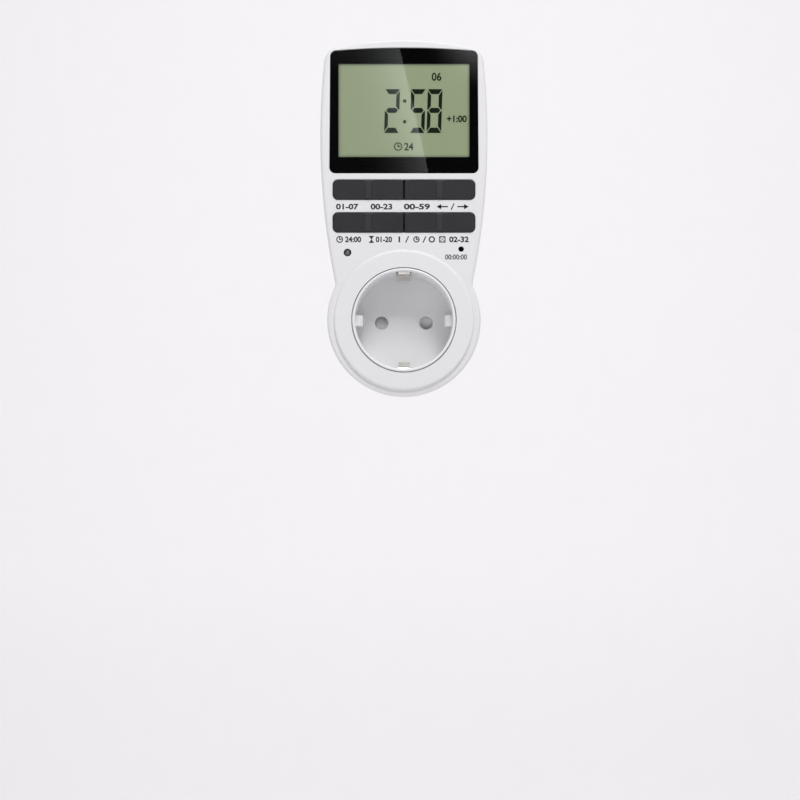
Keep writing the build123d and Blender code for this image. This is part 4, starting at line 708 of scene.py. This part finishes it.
# Plug pins, earth strips and earth spring. Brass turned or stamped, then nickel plated. Plugging in
# has left fine scratches along the depth.
nickel = Finish("satin_nickel_plate")
strokes = nickel.noise(5200, 2, (1, 0.04, 1))
tarnish = nickel.noise(260, 3)
paint(nickel.surface(
    Base_Color=nickel.blend(tarnish, (0.60, 0.58, 0.53, 1), (0.74, 0.72, 0.68, 1)), Metallic=1.0,
    Roughness=strokes * 0.16 + 0.15 + tarnish * 0.06, Normal=nickel.bump(strokes, 0.10, 0.00002)),
    "plug_pin_left", "plug_pin_right", "plug_earth_strip", "earth_spring", "backup_cell",
    "cell_tabs", "quartz_crystal")


# Live and neutral clips, live strip, earth sleeve. Springy bare brass, stamped and folded, browned
# a little by handling; the rolling of the sheet shows as faint lines.
brass = Finish("bare_rolled_brass")
rolled = brass.noise(3000, 2, (1, 1, 0.06))
browned = brass.noise(180, 3)
paint(brass.surface(
    Base_Color=brass.blend(browned, (0.58, 0.37, 0.13, 1), (0.80, 0.60, 0.27, 1)), Metallic=1.0,
    Roughness=rolled * 0.14 + 0.24, Normal=brass.bump(rolled, 0.10, 0.00002)),
    "live_clip", "neutral_clip", "live_strip", "earth_sleeve")


# Housing screws. Four zinc plated pan head screws with a cross recess and a coarse thread for
# plastic. Their heads sit at the bottom of the wells in the rear cover.
HEAD_SEAT_Y, HEAD_RADIUS, HEAD_HEIGHT, HEAD_ROUND = -0.0260, 0.0027, 0.0020, 0.0011
CROSS_LENGTH, CROSS_WIDTH, CROSS_DEPTH = 0.0031, 0.00062, 0.0013
CORE_RADIUS, THREAD_RADIUS, THREAD_PITCH, SCREW_LENGTH = 0.00105, 0.0014, 0.0012, 0.0240
THREAD_TURNS, TURN_STEPS = 15, 20
LOWER_PAIR_DISTANCE, LOWER_PAIR_ANGLE = 0.0258, 50    # from the middle of the recess, below level
low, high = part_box("housing_screws")
UPPER_SCREW_X, UPPER_SCREW_Z = high.x - HEAD_RADIUS, high.z - HEAD_RADIUS
LOWER_SCREW_X = LOWER_PAIR_DISTANCE * math.cos(math.radians(LOWER_PAIR_ANGLE))
LOWER_SCREW_Z = low.z + HEAD_RADIUS


def applied(piece, kind, **settings):
    """Adds a modifier to a piece and applies it."""
    alone(piece)
    modifier = piece.modifiers.new(kind.lower(), kind)
    for key, value in settings.items():
        setattr(modifier, key, value)
    bpy.ops.object.modifier_apply(modifier=modifier.name)


bpy.ops.mesh.primitive_cylinder_add(
    vertices=40, radius=HEAD_RADIUS, depth=HEAD_HEIGHT, location=(0, 0, HEAD_HEIGHT / 2))
screw_head = bpy.context.active_object
settle(screw_head)
pick(screw_head, "EDGE",
     lambda m: m.z > HEAD_HEIGHT * 0.99 and math.hypot(m.x, m.y) > HEAD_RADIUS * 0.9)
bpy.ops.mesh.bevel(offset=HEAD_ROUND, segments=6)
close_edit()
for turn in (0, math.pi / 2):
    bpy.ops.mesh.primitive_cube_add(
        size=1, location=(0, 0, HEAD_HEIGHT), rotation=(0, 0, turn),
        scale=(CROSS_LENGTH, CROSS_WIDTH, CROSS_DEPTH * 2))
    cross_cutter = bpy.context.active_object
    settle(cross_cutter)
    pick(cross_cutter, "FACE", lambda m: m.z < HEAD_HEIGHT * 0.5)
    bpy.ops.transform.resize(value=(0.5, 0.5, 1), center_override=(0, 0, 0))
    close_edit()
    applied(screw_head, "BOOLEAN", object=cross_cutter, operation="DIFFERENCE", solver="EXACT")
    bpy.data.objects.remove(cross_cutter)

bpy.ops.mesh.primitive_cylinder_add(
    vertices=24, radius=CORE_RADIUS, depth=SCREW_LENGTH, location=(0, 0, -SCREW_LENGTH / 2))
core = bpy.context.active_object
settle(core)
pick(core, "FACE", lambda m: m.z < -SCREW_LENGTH * 0.99)
bpy.ops.mesh.inset(thickness=CORE_RADIUS * 0.4)
bpy.ops.transform.resize(value=(0.5, 0.5, 1), center_override=(0, 0, -SCREW_LENGTH))
close_edit()

flank = THREAD_RADIUS - CORE_RADIUS
bpy.ops.mesh.primitive_circle_add(
    vertices=3, radius=flank * 0.8, rotation=(math.pi / 2, math.pi / 2, 0),
    location=(CORE_RADIUS + flank * 0.2, 0, -SCREW_LENGTH + THREAD_PITCH * 0.7))
thread = bpy.context.active_object
settle(thread)
applied(thread, "SCREW", angle=2 * math.pi, screw_offset=THREAD_PITCH, iterations=THREAD_TURNS,
        steps=TURN_STEPS, render_steps=TURN_STEPS, axis="Z")
pick(thread, "FACE", lambda m: True)
bpy.ops.mesh.fill_holes(sides=4)
bpy.ops.mesh.select_all(action="SELECT")
bpy.ops.mesh.normals_make_consistent(inside=False)
close_edit()

one_screw = together([screw_head, core, thread])
alone(one_screw)
bpy.ops.object.shade_smooth_by_angle(angle=math.radians(35))
# Each screw's X and Z, and how far it happens to be driven round, in degrees
SCREW_PLACES = (
    (-LOWER_SCREW_X, LOWER_SCREW_Z, 20), (LOWER_SCREW_X, LOWER_SCREW_Z, 63),
    (-UPPER_SCREW_X, UPPER_SCREW_Z, 41), (UPPER_SCREW_X, UPPER_SCREW_Z, 8))
head_to_back = Matrix.Rotation(-math.pi / 2, 4, "X")
housing_screws = [
    moved_copy(one_screw, Matrix.Translation((screw_x, HEAD_SEAT_Y, screw_z)) @ head_to_back
               @ Matrix.Rotation(math.radians(turn), 4, "Z"))
    for screw_x, screw_z, turn in SCREW_PLACES]
bpy.data.objects.remove(one_screw)
pan_screws = together(housing_screws, "housing_pan_screws")
zinc = Finish("zinc_plated_steel")
zinc_cloud = zinc.noise(700, 3)
zinc_steel = zinc.surface(
    Base_Color=zinc.blend(zinc_cloud, (0.50, 0.51, 0.52, 1), (0.66, 0.67, 0.68, 1)), Metallic=1.0,
    Roughness=zinc_cloud * 0.16 + 0.24, Normal=zinc.bump(zinc_cloud, 0.08, 0.00003))
pan_screws.data.materials.clear()
pan_screws.data.materials.append(zinc_steel)
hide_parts("housing_screws")
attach(pan_screws, "housing")


# Screws of the carrier and the two boards, and the shutter's torsion spring: the same zinc plated
# steel, hidden once the covers are closed.
paint(zinc_steel, "carrier_screws", "display_board_screws", "power_board_screws", "shutter_spring")


# Display holder, diffuser and contact strips. The glass is clipped into a natural white frame with
# a milky sheet behind it; two strips of layered conductive rubber join it to the board.
paint(moulded("natural_white_plastic", (0.70, 0.70, 0.64), 0.5), "display_holder")
paint(moulded("milky_diffuser_sheet", (0.82, 0.83, 0.80), 0.32, 1500), "display_diffuser")
LAYERS_PER_METRE = 5500
zebra = Finish("layered_conductive_rubber")
layers = zebra.fraction(zebra.axes()[0] * LAYERS_PER_METRE)
bare_rubber = zebra.ramp(layers, 0.4, 0.6)
paint(zebra.surface(
    Base_Color=zebra.blend(bare_rubber, (0.020, 0.020, 0.022, 1), (0.42, 0.25, 0.27, 1)),
    Roughness=zebra.noise(2000) * 0.1 + 0.6), "contact_strips")


# Keypad mat. One sheet of grey silicone with a dome under each key function; the skin is slightly
# dusty and matt.
paint(moulded("grey_silicone_mat", (0.34, 0.35, 0.37), 0.62, 1800), "keypad_mat")


# Boards. Glass fibre laminate under green solder mask: copper tracks show as lighter lines and
# soldered joints as bright dots.
def circuit(name, track_pitch, joint_pitch):
    """Solder mask over tracks, with soldered joints, on a board that lies across the depth."""
    board = Finish(name)
    turned = board.node(
        "ShaderNodeMapping", sockets={"Vector": board.place(), "Rotation": (math.pi / 2, 0, 0)})
    tracks = board.node(
        "ShaderNodeTexBrick", {"offset": 0.5, "squash": 1.0},
        {"Vector": turned, "Scale": 1 / track_pitch, "Mortar Size": 0.09, "Mortar Smooth": 0.1,
         "Brick Width": 3.4, "Row Height": 0.8}, out="Fac")
    off_joint = board.node(
        "ShaderNodeTexVoronoi", {"feature": "F1"},
        {"Vector": turned, "Scale": 1 / joint_pitch}, out="Distance")
    joints = 1 - board.ramp(off_joint, 0.14, 0.18)
    fibre = board.noise(1400, 2)
    mask_tone = board.blend(tracks, (0.012, 0.095, 0.038, 1), (0.035, 0.19, 0.075, 1))
    return board.surface(
        Base_Color=board.blend(joints, mask_tone, (0.62, 0.62, 0.60, 1)), Metallic=joints * 0.9,
        Roughness=fibre * 0.1 + 0.3, Normal=board.bump(tracks + joints * 2, 0.3, 0.00005))


paint(circuit("display_board_mask", 0.0021, 0.0062), "display_board")
paint(circuit("power_board_mask", 0.0046, 0.0098), "power_board")


# Parts on the boards: chip under black resin, boxed film capacitor, relay, varistor, electrolytic
# capacitor, resistors and diodes, and the ribbon cable. Each has its usual lacquer, case or sleeve.
paint(moulded("black_chip_resin", (0.014, 0.014, 0.015), 0.34, 900), "controller_chip")
paint(moulded("yellow_capacitor_box", (0.66, 0.47, 0.07), 0.34, 1500), "film_capacitor")
paint(moulded("blue_relay_case", (0.035, 0.085, 0.34), 0.42, 1800), "relay")
paint(moulded("blue_varistor_lacquer", (0.020, 0.085, 0.42), 0.26, 600), "varistor")

sleeve = Finish("printed_shrink_sleeve")
x, y, _ = sleeve.axes()
minus_stripe = sleeve.ramp(x, 0.0176, 0.0179)
can_end = 1 - sleeve.ramp(y, -0.03495, -0.03475)
sleeve_tone = sleeve.blend(minus_stripe, (0.012, 0.012, 0.030, 1), (0.45, 0.46, 0.50, 1))
paint(sleeve.surface(
    Base_Color=sleeve.blend(can_end, sleeve_tone, (0.62, 0.62, 0.63, 1)), Metallic=can_end,
    Roughness=sleeve.noise(800) * 0.1 + 0.28), "electrolytic_capacitor")

BAND_HALF, BAND_EDGE = 0.00025, 0.00032
BANDS = (
    (-0.0139, (0.16, 0.05, 0.02, 1)), (-0.0127, (0.01, 0.01, 0.01, 1)),
    (-0.0115, (0.55, 0.10, 0.03, 1)), (-0.0100, (0.55, 0.38, 0.10, 1)))
lacquer = Finish("banded_resistor_lacquer")
x = lacquer.axes()[0]
tone = lacquer.blend(lacquer.noise(500), (0.46, 0.33, 0.18, 1), (0.56, 0.42, 0.26, 1))
for band_x, band_tone in BANDS:
    band = 1 - lacquer.ramp(abs(x - band_x), BAND_HALF, BAND_EDGE)
    tone = lacquer.blend(band, tone, band_tone)
paint(lacquer.surface(Base_Color=tone, Roughness=lacquer.noise(900) * 0.1 + 0.3),
      "resistors_and_diodes")

WIRE_PITCH = 0.00127
ribbon = Finish("grey_ribbon_cable")
x = ribbon.axes()[0]
off_wire = abs(ribbon.fraction(x / WIRE_PITCH) - 0.5)
ribbon_tone = ribbon.blend(
    ribbon.ramp(off_wire, 0.3, 0.5), (0.46, 0.46, 0.47, 1), (0.26, 0.26, 0.27, 1))
first_wire = ribbon.ramp(x, 0.0050, 0.0051)
paint(ribbon.surface(
    Base_Color=ribbon.blend(first_wire, ribbon_tone, (0.45, 0.05, 0.05, 1)),
    Roughness=ribbon.noise(700) * 0.1 + 0.42, Normal=ribbon.bump(off_wire, 0.5, 0.0002)),
    "ribbon_cable")
